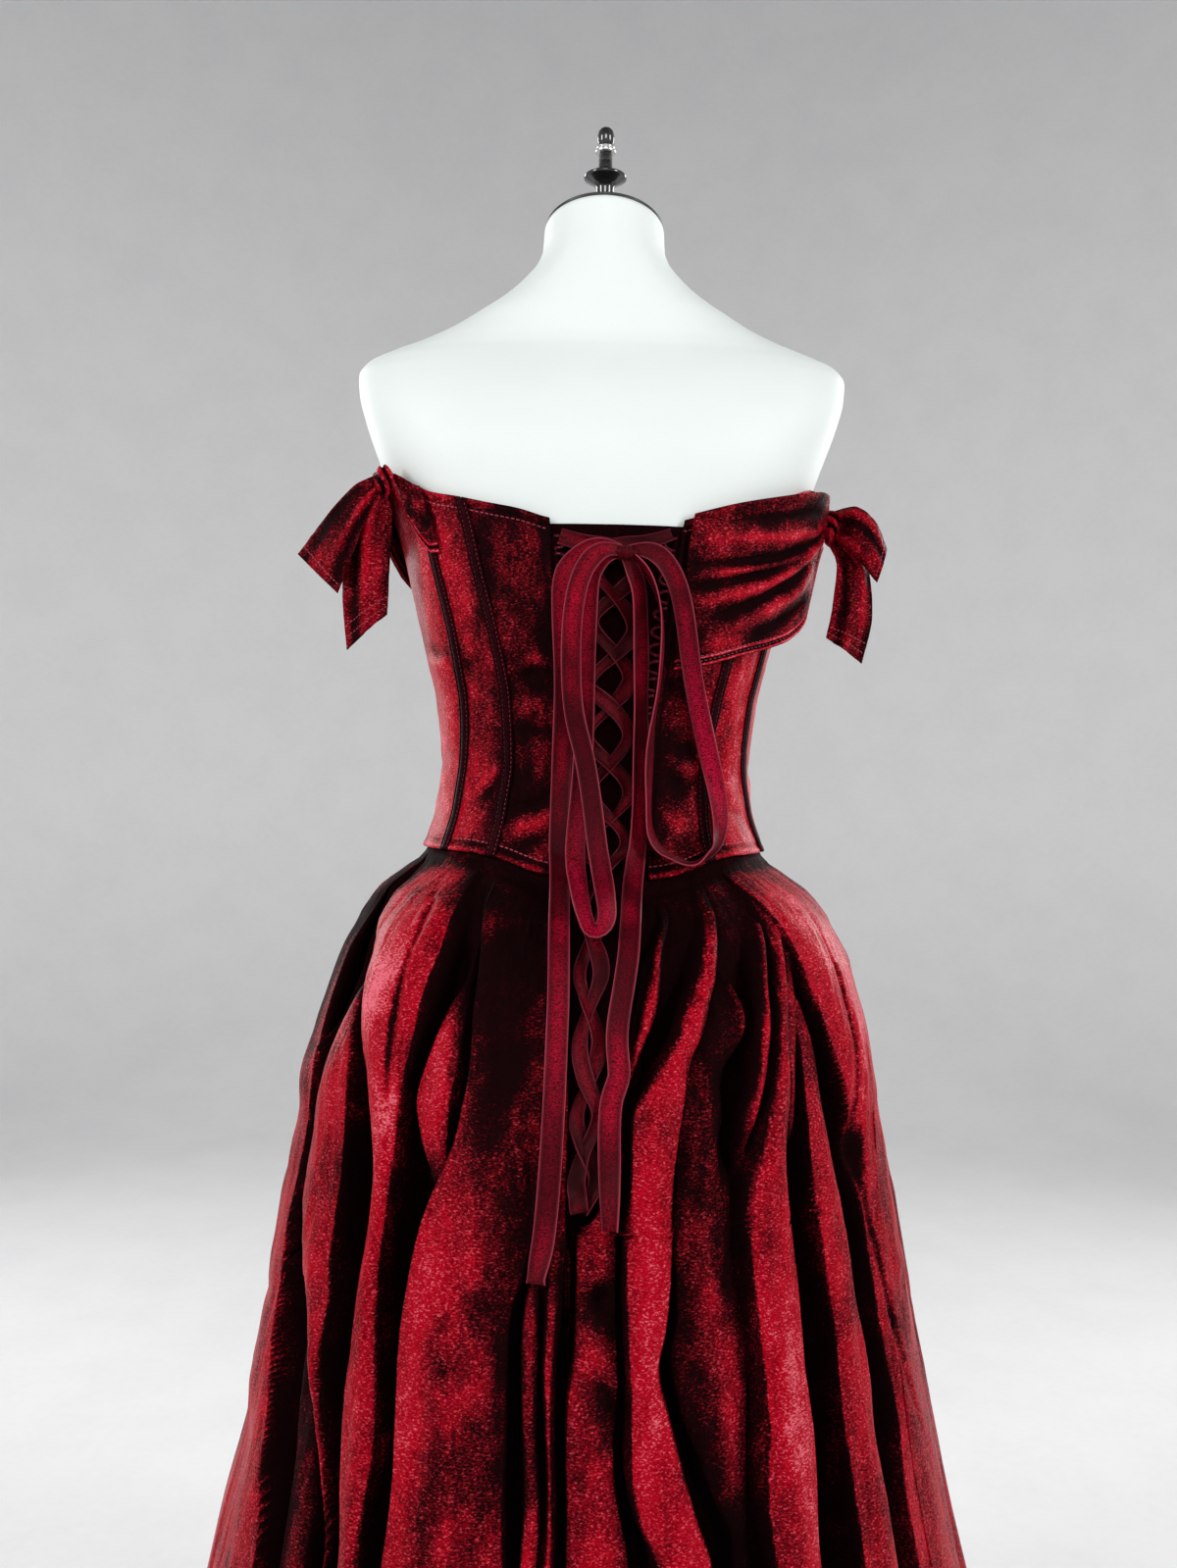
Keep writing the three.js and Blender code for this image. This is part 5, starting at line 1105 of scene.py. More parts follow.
def build_skirt():
    levels = np.concatenate([np.linspace(15, 560, 78)[:-1], np.linspace(560, 900, 96)[:-1],
                             np.linspace(900, 973, 40)])
    few = np.concatenate([np.linspace(15, 560, 64)[:-1], np.linspace(560, 900, 72)[:-1],
                          np.linspace(900, 973, 34)])
    line = lambda *v: curve([15, 600, 745, 880, 960], v[::-1])
    left = line(-71, -67, -62, -66, -67)
    right = line(67.5, 63.5, 59.5, 58, 58)
    front_r = line(109.5, 109.5, 109, 110, 110)
    front_l = line(-118.5, -118.5, -117, -115.5, -116)
    cb_l = lambda z: np.where(z > PLACKET_END, PLACKET_L(z), CB_SEAM(z))
    cb_r = lambda z: np.where(z > PLACKET_END, PLACKET_R(z), CB_SEAM(z))
    panels = [
        ("skirt_back_L", left, cb_l, 330, levels, 1), ("skirt_back_R", cb_r, right, 320, levels, 2),
        ("skirt_side_L", front_l, left, 165, few, 3), ("skirt_side_R", right, front_r, 165, few, 4),
        ("skirt_front", front_r, lambda z: front_l(z) + 360, 340, few, 5),
    ]
    for name, lo, hi, nu, lv, seed in panels:
        u = np.linspace(0, 1, nu + 1)[:, None]
        L = lv[None, :] + 0 * u
        mm = 57.3 / (SKIRT_AT["half"](L) * 0.95)
        A = lerp(lo(L) + 0.15 * mm, hi(L) - 0.15 * mm, u)
        H = skirt_height(A, L)
        H += 1.5 * smooth_noise(A.shape, (nu / 26, 9), 50 + seed) * (1 - ramp(930, 962, L))
        H += 0.7 * smooth_noise(A.shape, (nu / 9, 22), 70 + seed) * (1 - ramp(940, 962, L))
        gather = np.sin(A * 1.55 + 1.6 * np.sin(A / 7.0)) + 0.5 * np.sin(A * 2.9 + 1)
        H += 0.30 * gather * ramp(915, 955, L) * (1 - ramp(964, 973, L)) * (0.35 + 0.65 * (H < 12))
        H += crease_field(A, L, SKIRT_CREASES, 4.2)
        H -= 1.3 * np.exp(-((L - 42) / 2.5) ** 2) + 0.6 * np.exp(-((L - 48) / 2) ** 2)   # hem stitching
        H = H - np.maximum(0, H - 19 + 6 * (L > 900)) * 0.2 * (L > 500)
        if name in ("skirt_back_L", "skirt_back_R"):
            edge = (hi(L) - A if name.endswith("L") else A - lo(L)) / mm
            below = 1 - ramp(740, 752, L)
            H -= 1.8 * np.exp(-(edge / 1.8) ** 2) * below
            H += (1.0 * np.exp(-((edge - 3) / 2.5) ** 2) - 1.0 * np.exp(-((edge - 8) / 1.6) ** 2)) * (1 - below)
            H -= 0.9 * np.exp(-((L - 712) / 1.6) ** 2) * (edge < (32 if name.endswith("L") else 12))
        P = skirt_place(A, L, H)
        # painted light and shade: lighter on fold crests, darker in the valleys and on steep flanks, a painted shadow
        # under the bodice at the top, then the listed spots, with random tone
        slope = np.abs(np.gradient(H, axis=0)) / np.maximum(np.abs(np.gradient(A, axis=0)) / mm, 1e-6)
        crest = curve([15, 600, 745, 900, 930, 962], [27, 17, 15, 14, 9, 3])(L)
        rise = np.clip((H - VALLEY(L)) / (crest - VALLEY(L)), 0, 1.15)
        painted_light_and_tone = (0.06 + 0.90 * ramp(0.34, 1.02, rise)) * (1 - 0.72 * ramp(0.35, 1.7, slope))
        waist = WAIST_PAINTED_LIGHT(((A + 180) % 360) - 180)
        painted_light_and_tone = lerp(painted_light_and_tone, waist - 0.3 * ramp(0.3, 1.2, slope), 0.8 * ramp(922, 958, L))
        painted_light_and_tone -= 0.5 * ramp(958, 964, L)
        painted_spots = sum(v * np.exp(-((A - a0) / sa) ** 2 - ((L - z0) / sz) ** 2) for a0, z0, v, sa, sz in PAINTED_LIGHT_SPOTS)
        painted_light_and_tone += painted_spots * np.where(painted_spots > 0, ramp(0.3, 0.8, rise), 1)
        painted_light_and_tone = np.minimum(painted_light_and_tone, 0.78 + 1.25 * np.maximum(painted_spots, 0))
        painted_light_and_tone += 0.11 * smooth_noise(A.shape, (nu / 22, 14), 30 + seed)
        painted_light_and_tone += 0.17 * smooth_noise(A.shape, (nu / 48, 6), 60 + seed, 2) * ramp(0.2, 0.7, rise)
        ob = open_sheet("velvet_" + name, P, {"painted_light_and_tone": np.clip(painted_light_and_tone, 0, 1.3)}, VELVET, turn=1.7, under=3.0,
                        outward=P * [1, 1, 0])
        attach(ob, "root")
        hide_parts(name)
    # placket panel behind the laced opening, in velvet painted dark for its shade
    lv = np.linspace(731, 962, 110)[None, :]
    u = np.linspace(0, 1, 41)[:, None]
    A = lerp(PLACKET_L(lv) - 5, PLACKET_R(lv) + 5, u)
    inward = curve([731, 920, 942, 953, 962], [9, 9, 6, 4.2, 3.2])
    H = -inward(lv) + 0.35 * np.sin(A / 0.9 + np.sin(lv / 21.0)) + 0 * u
    P = section(A, lv + 0 * A, SKIRT_AT["half"](lv), SKIRT_AT["back"](lv), SKIRT_AT["front"](lv), 2.1, H)
    P[..., 2] -= (973 - bottom_z(A)) * ramp(800, 940, lv)
    ob = open_sheet("placket_cloth", P, None, VELVET_PAINTED_SHADE, turn=0.9, under=1.5, outward=P * [1, 1, 0])
    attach(ob, "root")
    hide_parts("skirt_placket_panel")


# ---------------------------------------------------------- lacing and bow
def back_table():
    xs = np.arange(-110, 111, 2.0)[:, None]
    zs = np.arange(690, 1260, 3.0)[None, :]
    lv = zs + 15 * ramp(800, 940, zs)

    def on_skirt(z, level):
        X = np.minimum(np.abs(xs) / SKIRT_AT["half"](level), 0.999)
        Y = (1 - X ** 2.1) ** (1 / 2.1)
        a = np.degrees(np.arctan2(X, Y)) * np.sign(xs)
        h = np.maximum(0, skirt_height(a, level))
        return -(SKIRT_AT["back"](level) + h) * Y

    def on_body(z):
        X = np.minimum(np.abs(xs) / TORSO_AT["half"](z), 0.999)
        p = TORSO_AT["power"](z)
        return -TORSO_AT["back"](z) * (1 - X ** p) ** (1 / p)
    zz = np.minimum(zs, 948)
    y = lerp(on_skirt(zz, zz + 15 * ramp(800, 940, zz)), on_body(np.maximum(zs, 940)), ramp(930, 972, zs))
    out = y.copy()
    for _ in range(2):
        for ax in (0, 1):
            out = np.minimum(out, np.minimum(np.roll(out, 1, ax), np.roll(out, -1, ax)))
    out = np.where(zs > 965, y, out)
    for _ in range(4):
        for ax in (0, 1):
            e = np.pad(out, [(1, 1) if ax == q else (0, 0) for q in (0, 1)], mode="edge")
            a0 = e[:-2] if ax == 0 else e[:, :-2]
            a1 = e[2:] if ax == 0 else e[:, 2:]
            out = 0.25 * a0 + 0.5 * out + 0.25 * a1
    return xs[:, 0], zs[0], out


BACK_X, BACK_Z, BACK_Y = back_table()


def back_y(x, z):
    fx = np.clip((np.asarray(x, float) - BACK_X[0]) / 2.0, 0, len(BACK_X) - 1.001)
    fz = np.clip((np.asarray(z, float) - BACK_Z[0]) / 3.0, 0, len(BACK_Z) - 1.001)
    i, j = fx.astype(int), fz.astype(int)
    u, v = fx - i, fz - j
    return lerp(lerp(BACK_Y[i, j], BACK_Y[i + 1, j], u), lerp(BACK_Y[i, j + 1], BACK_Y[i + 1, j + 1], u), v)


def back_place(x, z, lift):
    x, z, lift = np.broadcast_arrays(np.asarray(x, float), np.asarray(z, float), np.asarray(lift, float))
    gx = (back_y(x + 2, z) - back_y(x - 2, z)) / 4
    gz = (back_y(x, z + 4) - back_y(x, z - 4)) / 8
    n = np.stack([gx, -np.ones_like(gx), gz], -1)
    n /= np.linalg.norm(n, axis=-1, keepdims=True)
    sq = np.minimum(lift, 8)
    p = np.stack([x, back_y(x, z), z], -1) + n * sq[..., None]
    p[..., 1] -= lift - sq
    return p


def band(name, rows, mat, width, cad, step=2.4, thick=0.9, cup=0.7, nu=11, wide=None, seed=1,
         wave=0.5, shine=((0, 0), (1, 0))):
    """A soft ribbon along rows (x, z, lift, roll): it cups a little along its length."""
    pts = path_points(np.array(rows, float), step)
    x, z, lift, roll = pts.T
    p = back_place(x, z, lift)
    for _ in range(2):
        p[1:-1] = 0.25 * p[:-2] + 0.5 * p[1:-1] + 0.25 * p[2:]
    out = back_place(x, z, lift + 1) - p
    T = np.gradient(p, axis=0)
    T /= np.linalg.norm(T, axis=1, keepdims=True)
    out -= T * np.sum(out * T, 1, keepdims=True)
    out /= np.maximum(np.linalg.norm(out, axis=1, keepdims=True), 1e-9)
    side = np.cross(T, out)
    ca, sa = cosd(roll)[:, None], sind(roll)[:, None]
    w = side * ca + out * sa
    n = out * ca - side * sa
    s = np.concatenate([[0], np.cumsum(np.linalg.norm(np.diff(p, axis=0), axis=1))])
    k = np.ones(len(s)) if wide is None else wide(s, s[-1])
    t = np.linspace(-1, 1, nu)[:, None]
    r = np.random.RandomState(seed)
    ph = r.uniform(0, 6, 4)
    bend = cup * (t ** 2 - 0.35) + wave * np.sin(s / 13 + ph[0]) * t ** 3 + 0.35 * np.sin(s / 24 + ph[1]) * t
    P = (p[None] + (t * (width / 2) * k)[..., None] * w[None]
         + (bend * np.minimum(1, k))[..., None] * n[None] + (thick / 2) * n[None])
    edge = np.abs(t) + 0 * s
    lit = curve(*zip(*shine))(s / s[-1]) + 0 * t
    ob = shell(name, P, thick, {"edge": edge, "shine": lit}, mat)
    if cad:
        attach(ob, "root")
        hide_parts(cad)
    return ob


BOW = {
    "bow_tail_L": [[15, 1189, 10, 0], [5, 1191.5, 11, 0], [-7, 1189, 11, 0], [-18, 1181, 11, 0], [-25, 1163, 10, 0],
                   [-23, 1110, 9, 0], [-23, 1050, 9, 0], [-24, 990, 9, 0], [-23, 945, 11, 0],
                   [-21.5, 905, 9, 0], [-21.5, 860, 7, 0], [-22.5, 800, 7, 0], [-25, 755, 6, 0],
                   [-28, 718, 5, 0]],
    "bow_tail_R": [[18, 1187, 12, 10], [22, 1178, 14, 22], [27, 1165, 14, 35], [29.5, 1140, 11, 40], [31, 1080, 10, 40],
                   [31.5, 1010, 9.5, 35], [29, 965, 11, 15], [25, 925, 10, 0], [20.5, 863, 8, 0],
                   [18.5, 811, 8, 0], [19.4, 751, 7, 0]],
    "bow_loop_L": [[15, 1187, 12, 0], [5, 1184, 16, 0], [-4, 1174, 18, 0], [-7, 1150, 17, 0], [-8, 1092, 16, 0],
                   [-8.5, 1040, 16, 0], [-11, 1002, 16, 0], [-12.7, 969, 16, 10], [-8.5, 938, 14, 40],
                   [0, 921, 14, 75], [9, 926, 19, 50], [8, 945, 23, 15], [3, 975, 25, 0],
                   [-2, 1010, 25, 0], [-8, 1045, 25, 0], [-15, 1074, 25, 0], [-17.5, 1110, 25, 0],
                   [-16, 1150, 25, 0], [-8, 1177, 24, 0], [4, 1187.5, 21, 0], [15, 1188, 15, 0]],
    "bow_loop_R": [[20, 1188, 13, 0], [31, 1189, 16, 0], [44, 1183, 18, 0], [55, 1163, 18, 0], [61, 1135, 17, 0],
                   [66, 1105, 15, 0], [73, 1070, 14, 0], [80, 1040, 14, 0], [86, 1010, 15, 20],
                   [85, 982, 17, 45], [70, 964, 18, 80], [52, 970, 17, 100], [40, 985, 16, 110],
                   [37.5, 1010, 17, 110], [38, 1050, 17, 105], [42, 1086, 17, 100], [45, 1120, 17, 100],
                   [43, 1150, 17, 98], [34, 1173, 16, 80], [21, 1186, 13, 40]],
}
# Painted highlight along the bow's ribbons, where the light falls on them: (share of its length, amount).
BOW_SHINE = {
    "bow_tail_L": [[0, 0.05], [0.5, 0.05], [0.75, 0.16], [1, 0.10]],
    "bow_tail_R": [[0, 0.05], [0.5, 0.08], [0.8, 0.16], [1, 0.10]],
    "bow_loop_L": [[0, 0.05], [0.26, 0.06], [0.36, 0.55], [0.50, 0.70], [0.58, 0.30], [0.70, 0.08], [1, 0.05]],
    "bow_loop_R": [[0, 0.05], [0.13, 0.12], [0.22, 0.60], [0.33, 0.92], [0.41, 0.75], [0.48, 0.18], [1, 0.05]],
}


def ball(name, centre, radii, mat, wraps, tilt, cad, nu=56, nv=40, depth=0.10, seed=3):
    """A tied knot: a soft lump with the turns of cloth wrapped round it."""
    u = np.linspace(0, 2 * np.pi, nu, endpoint=False)[:, None]
    v = np.linspace(-np.pi / 2 + 0.02, np.pi / 2 - 0.02, nv)[None, :]
    d = np.stack([np.cos(v) * np.cos(u), np.cos(v) * np.sin(u), np.sin(v) + 0 * u], -1)
    ax = np.array([np.cos(tilt), 0.25, np.sin(tilt)])
    ax /= np.linalg.norm(ax)
    e1 = np.cross(ax, [0, 1, 0])
    e1 /= np.linalg.norm(e1)
    e2 = np.cross(ax, e1)
    ang = np.arctan2(d @ e2, d @ e1)
    r = np.random.RandomState(seed)
    along = d @ ax + 0.12 * np.sin(2 * ang + r.uniform(0, 6))
    f = 1 - depth * np.abs(np.sin(along * wraps * np.pi / 2 + r.uniform(0, 1))) ** 6 * 1.4
    f = f + 0.03 * np.sin(3 * ang + along * 4)
    P = d * np.array(radii) * f[..., None] + np.array(centre)
    V = np.concatenate([P.reshape(-1, 3), P[:, 0].mean(0)[None], P[:, -1].mean(0)[None]])
    i = np.arange(nu)
    c0 = np.stack([np.full(nu, nu * nv), ((i + 1) % nu) * nv, i * nv], 1)
    c1 = np.stack([np.full(nu, nu * nv + 1), i * nv + nv - 1, ((i + 1) % nu) * nv + nv - 1], 1)
    # painted shade: darker in the grooves between the wrapped turns
    at = np.concatenate([np.clip(0.75 - (1 - f) * 4.5, 0, 1).ravel(), [0.5, 0.5]])
    ob = mesh_object(name, V, [grid_faces(nu, nv, 0, False, True), c0, c1],
                     {"painted_light_and_tone": at, "edge": 0 * at}, mat)
    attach(ob, "root")
    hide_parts(cad)
    return ob


def build_ties():
    lace_x = curve([745, 800, 880, 930, 960, 1000, 1200], [-4, -1.5, -1.5, 1, 5, 8, 12])
    for name, side, lift0 in (("lace_A", 1, 4.4), ("lace_B", -1, 6.4)):
        z = np.linspace(1192, 752, 180)
        below = ramp(930, 980, z)
        reach = lerp(7.5, 15, below)
        q = (1192 - z) / 40
        slack = np.random.RandomState(31 + side)
        knots = np.arange(-1, 13)
        vary = [curve(knots, slack.uniform(-1, 1, len(knots))) for _ in range(4)]
        ph = np.pi * (q + 0.10 * vary[0](q)) + 0.35
        tri = 0.55 * np.sin(ph) + 0.45 * (2 / np.pi) * np.arcsin(0.985 * np.sin(ph)) * 1.1
        x = lace_x(z) + side * reach * tri * (1 + 0.14 * vary[1](q))
        lift = lift0 - 1.6 * (1 - ramp(930, 972, z)) + 0.9 * np.cos(ph) * side + 0.5 * vary[3](q)
        roll = 30 * np.cos(ph) * side + 16 * vary[2](q)
        rows = np.stack([x, z, lift, roll], 1)[::4]
        # the top of each run comes in from the uppermost loop, under the knot
        first = ([[-27.5, 1199, 4.2, 0], [-17, 1196, 5.4, 0], [-4, 1194, 6, 0]] if side > 0
                 else [[51, 1202, 4.2, 0], [40, 1198, 5.4, 0], [27, 1194.5, 6, 0]])
        rows = np.concatenate([first, rows])
        band("ribbon_" + name, rows, RIBBON_LACE, 11, name, step=2.2, thick=0.8, cup=1.3, nu=9,
             wide=lambda s, e: 0.86 + 0.16 * np.sin(s / 12.7 + side), seed=4 + side, wave=1.1)
    knot = back_place(17.6, 1187, 13)
    for name, rows in BOW.items():
        if "loop" in name:
            wide = lambda s, e: lerp(0.55, 1, ramp(0, 24, np.minimum(s, e - s)))
        else:
            wide = lambda s, e: lerp(0.55, 1, ramp(0, 24, s))
        band("ribbon_" + name, rows, RIBBON, 14, name, wide=wide, seed=len(name) + ord(name[-1]),
             shine=BOW_SHINE[name])
    ball("knotted_ribbon", knot, (10.5, 6.2, 5.4), RIBBON, 5, 0.2, "bow_knot", 40, 28, 0.12)


# ------------------------------------------------------- off-shoulder drapes
def key_curves(rows):
    r = np.array(rows, float)
    k = np.arange(len(r))
    return [curve(k, r[:, i]) for i in range(r.shape[1])], len(r) - 1


DRAPES = {
    "drape_R": [[24.4, 1217, 1106, 7, 7], [36, 1227, 1111, 8, 8], [48, 1235, 1119, 9, 10],
                [60, 1242, 1126, 10, 14], [70, 1246, 1135, 12, 21], [78, 1247, 1152, 14, 26],
                [84, 1239, 1208, 17, 24]],
    "sleeve_front_R": [[96, 1240, 1208, 17, 24], [104, 1250, 1180, 12, 20], [118, 1258, 1158, 8, 12],
                       [134, 1263, 1152, 7, 8], [150, 1264, 1160, 7, 7]],
    "drape_L": [[-47.5, 1237, 1190, 8, 8], [-50, 1241, 1190, 8.5, 9], [-52.5, 1246, 1196, 10, 10],
                [-56, 1250, 1214, 11, 11]],
    "sleeve_front_L": [[-63, 1254, 1222, 9, 14], [-74, 1256, 1204, 9, 16], [-92, 1257, 1188, 8, 14],
                       [-114, 1258, 1170, 8, 11], [-132, 1263, 1158, 7, 8], [-150, 1264, 1162, 7, 7]],
}
DRAPE_CREASES = {
    "drape_R": [
        ([(30, 1199), (42, 1203), (56, 1207), (72, 1216), (84, 1226)], 3.2, 4.2),
        ([(27, 1181), (42, 1186), (56, 1193), (70, 1204), (83, 1219)], -4.2, 3.6),
        ([(28, 1172), (42, 1179), (56, 1187), (70, 1199), (83, 1214)], 3.4, 4.0),
        ([(25, 1163), (32, 1167), (42, 1174), (55, 1183), (70, 1197)], -4.2, 3.6),
        ([(30, 1155), (42, 1162), (52, 1171), (66, 1187), (80, 1208)], 3.6, 4.4),
        ([(34, 1144), (42.5, 1151), (50, 1159), (64, 1176), (78, 1198)], -4.0, 3.8),
        ([(38, 1134), (48, 1144), (58, 1156), (68, 1170), (77, 1186)], 3.4, 5.0),
        ([(48, 1130), (58, 1140), (68, 1153), (76, 1168)], -3.0, 4.5),
        ([(31, 1213), (45, 1218), (60, 1226), (80, 1235)], -2.4, 4.0),
        ([(31, 1125), (40, 1127), (50, 1131)], 1.6, 5.0)],
    "sleeve_front_R": [
        ([(97, 1228), (110, 1232), (130, 1236), (150, 1238)], 3.0, 4.5),
        ([(97, 1224), (110, 1218), (130, 1216), (150, 1219)], -3.2, 4.2),
        ([(97, 1219), (108, 1205), (126, 1194), (148, 1194)], 3.2, 4.8),
        ([(98, 1216), (108, 1194), (124, 1178), (146, 1177)], -3.0, 4.4)],
    "drape_L": [([(-48, 1222), (-52, 1228)], 1.6, 3.5), ([(-48, 1208), (-52, 1216)], -1.6, 3.5)],
    "sleeve_front_L": [
        ([(-65, 1243), (-90, 1240), (-120, 1238), (-150, 1240)], 2.8, 4.5),
        ([(-65, 1238), (-90, 1226), (-120, 1217), (-150, 1220)], -3.0, 4.2),
        ([(-66, 1234), (-88, 1212), (-120, 1197), (-148, 1196)], 3.0, 4.8),
        ([(-68, 1228), (-86, 1200), (-112, 1182), (-146, 1178)], -2.8, 4.4)],
}
STRIPS = {
    "ear_R": [5, [[180, -4, 1238, 181, -4, 1218], [196, -18, 1240, 193, -19, 1204],
                  [213, -21, 1227, 205, -25, 1190], [222, -18, 1208, 214, -21, 1181]]],
    "tail_R": [4, [[178, -4, 1216, 186, -4, 1219], [184, -12, 1195, 210, -12, 1190],
                   [181, -14, 1162, 213, -10, 1157], [177, -12, 1139, 206, -8, 1120]]],
    "ear_L": [5, [[-160, -68, 1249, -161, -68, 1236], [-178, -68, 1240, -172, -73, 1208],
                  [-205, -58, 1214, -184, -68, 1180], [-225, -47, 1191, -193, -57, 1161]]],
    "tail_L": [4, [[-157, -66, 1236, -166, -64, 1232], [-152, -66, 1214, -189, -58, 1204],
                   [-154, -62, 1180, -190, -53, 1163], [-156, -57, 1146, -187, -49, 1120]]],
}


def build_drapes():
    stitches = []
    sizes = {"drape_R": (110, 90), "sleeve_front_R": (64, 44), "drape_L": (20, 44), "sleeve_front_L": (84, 44)}
    for name, rows in DRAPES.items():
        nu, nv = sizes[name]
        cs, kmax = key_curves(rows)
        k = np.linspace(0, kmax, nu + 1)[:, None]
        a, top, low, o_top, o_low = (c(k) for c in cs)
        v = np.linspace(0, 1, nv + 1)[None, :]
        Z = lerp(low, top, v)
        A = a + 0 * v
        H = crease_field(A, Z, DRAPE_CREASES[name], 2.6)
        H += 0.5 * smooth_noise(A.shape, (8, 9), 91 + nu)
        lowd, topd = Z - low, top - Z
        H -= 0.7 * np.exp(-((lowd - 7.5) / 1.2) ** 2) + 0.7 * np.exp(-((lowd - 3.8) / 1.0) ** 2)
        H += 0.7 * np.exp(-((topd - 1.8) / 1.8) ** 2)
        H = np.clip(H, -4.2, 4.5)
        H = np.where(lerp(o_low, o_top, v) < 12, np.maximum(H, -1.4 - 0.5 * (lerp(o_low, o_top, v) - 7)), H)
        P = torso(A, Z, lerp(o_low, o_top, v) + H)
        # painted light and shade: lighter on crests, painted shade in the groove of the hem and two painted highlight
        # lines beside it, with random tone
        painted_light_and_tone = 0.42 + 0.17 * H + 0.16 * smooth_noise(A.shape, (7, 7), 17 + nu)
        painted_light_and_tone -= 0.45 * np.exp(-((lowd - 3.9) / 2.6) ** 4)
        painted_light_and_tone += 1.1 * np.exp(-((lowd - 1.6) / 0.9) ** 2) + 1.1 * np.exp(-((lowd - 6.2) / 0.9) ** 2)
        painted_light_and_tone = np.clip(painted_light_and_tone, 0, 1.35)
        out = P * [1, 1, 0]
        ob = shell("velvet_" + name, P, 1.3, {"painted_light_and_tone": painted_light_and_tone}, VELVET, outward=out)
        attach(ob, "root")
        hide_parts(name)
        N = normals_of(P)
        if np.sum(N * out) < 0:
            N = -N
        if name != "drape_L":
            for q in (3, 6):
                stitches += stitch_parts(P[:, q], N[:, q], 2.4, 1.3, 0.4, 0.3)
    for q, (name, (bow, rows)) in enumerate(STRIPS.items()):
        cs, kmax = key_curves(rows)
        nu, nv = 26, 60
        k = np.linspace(0, kmax, nv + 1)[None, :]
        u = np.linspace(0, 1, nu + 1)[:, None]
        x1, y1, z1, x2, y2, z2 = (c(k) for c in cs)
        s = k / kmax
        curl = bow * np.sin(np.pi * u) * np.minimum(1, s * 3)
        fold = (1.9 * np.sin(u * 9.2 + 1.1 * q + 1.3 * s) + 1.1 * np.sin(u * 17 + 2 * q - 2 * s)) * (1 - 0.55 * s)
        fold *= np.minimum(1, 0.35 + s * 2) * np.sin(np.pi * np.clip(u, 0.06, 0.94)) ** 0.4
        sag = 1.4 * smooth_noise((nu + 1, nv + 1), (3, 5), 120 + q)
        P = np.stack([lerp(x1, x2, u), lerp(y1, y2, u) - curl - fold * 0.8 + sag, lerp(z1, z2, u)], -1)
        hemd = (1 - s) * 60 if name.startswith("tail") else (1 - s) * 40
        P[..., 1] += 0.6 * np.exp(-((hemd - 5) / 1.4) ** 2) + 0.5 * np.exp(-((hemd - 9) / 1.2) ** 2)
        # painted light and shade: lighter on the ridges of the small folds, darker in their hollows
        painted_light_and_tone = np.clip(0.50 + 0.20 * fold, 0.05, 1) + 0 * s
        ob = shell("velvet_" + name, P, 1.2, {"painted_light_and_tone": painted_light_and_tone}, VELVET, outward=np.array([0, -1.0, 0]) + 0 * P)
        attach(ob, "root")
        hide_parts(name)
        N = normals_of(P)
        if np.sum(N[..., 1]) > 0:
            N = -N
        for j in ((-5, -9) if name.startswith("tail") else (-6,)):
            stitches += stitch_parts(P[:, j], N[:, j], 2.0, 1.1, 0.35, 0.3)
    st = join_parts("drape_stitches", stitches, THREAD)
    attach(st, "root")
    ball("tied_knot_R", (182, -1, 1226), (8.5, 14, 14.5), VELVET, 3, 0.9, "knot_R", depth=0.16, seed=5)
    ball("tied_knot_L", (-158.5, -66, 1243), (7.4, 8.4, 12), VELVET, 2.4, 0.5, "knot_L", depth=0.16,
         seed=9)


# ----------------------------------------------------------- studio and light
def build_studio():
    prof = [(0.0, 0.0), (1.2, 0.0), (2.4, 0.0)]
    for t in np.linspace(0, np.pi / 2, 14):
        prof.append((2.8 + 0.9 * np.sin(t), 0.9 - 0.9 * np.cos(t)))
    prof += [(3.7, 2.2), (3.7, 6.0)]
    pr = np.array(prof) * 1000
    n = 96
    ang = np.linspace(0, 2 * np.pi, n, endpoint=False)
    P = np.stack([np.outer(np.cos(ang), pr[1:, 0]), np.outer(np.sin(ang), pr[1:, 0]),
                  np.outer(np.ones(n), pr[1:, 1])], -1)
    k = P.shape[1]
    V = np.concatenate([P.reshape(-1, 3), [[0, 0, 0]]])
    i = np.arange(n)
    cap = np.stack([np.full(n, n * k), i * k, ((i + 1) % n) * k], 1)
    V[:, 2] -= 0.6
    m = plain_mat("studio_paint", (0.80, 0.80, 0.80), (0.77, 0.77, 0.775), (0.75, 0.85), scale=60, bump_mm=0.2)
    ob = mesh_object("studio_bowl", V, [grid_faces(n, k, 0, True, True), cap], None, m)

    def area(name, at, aim, size, power, colour=(1, 1, 1)):
        d = bpy.data.lights.new(name, "AREA")
        d.shape = "RECTANGLE"
        d.size, d.size_y = size
        d.energy = power
        d.color = colour
        o = bpy.data.objects.new(name, d)
        bpy.context.scene.collection.objects.link(o)
        o.location = at
        o.rotation_euler = (Vector(aim) - Vector(at)).to_track_quat("-Z", "Y").to_euler()
    area("key_left", (-1.9, -1.25, 1.85), (0, 0, 1.0), (0.5, 1.3), 34)
    area("key_right", (1.9, -1.25, 1.85), (0, 0, 1.0), (0.5, 1.3), 34)
    area("rear_left", (-1.8, 1.6, 1.8), (0, 0, 0.95), (0.6, 1.5), 26)
    area("rear_right", (1.8, 1.6, 1.8), (0, 0, 0.95), (0.6, 1.5), 26)
    area("fill", (0.0, -2.2, 2.3), (0, 0, 0.95), (0.9, 0.7), 17)
    w = bpy.data.worlds.new("studio")
    bpy.context.scene.world = w
    w.use_nodes = True
    w.node_tree.nodes["Background"].inputs[0].default_value = (0.9, 0.94, 1.0, 1)
    w.node_tree.nodes["Background"].inputs[1].default_value = 0.12
    bpy.context.scene.view_settings.view_transform = "Standard"
    bpy.context.scene.view_settings.look = "None"


build_form()
build_bodice()
build_skirt()
build_ties()
build_drapes()
build_studio()

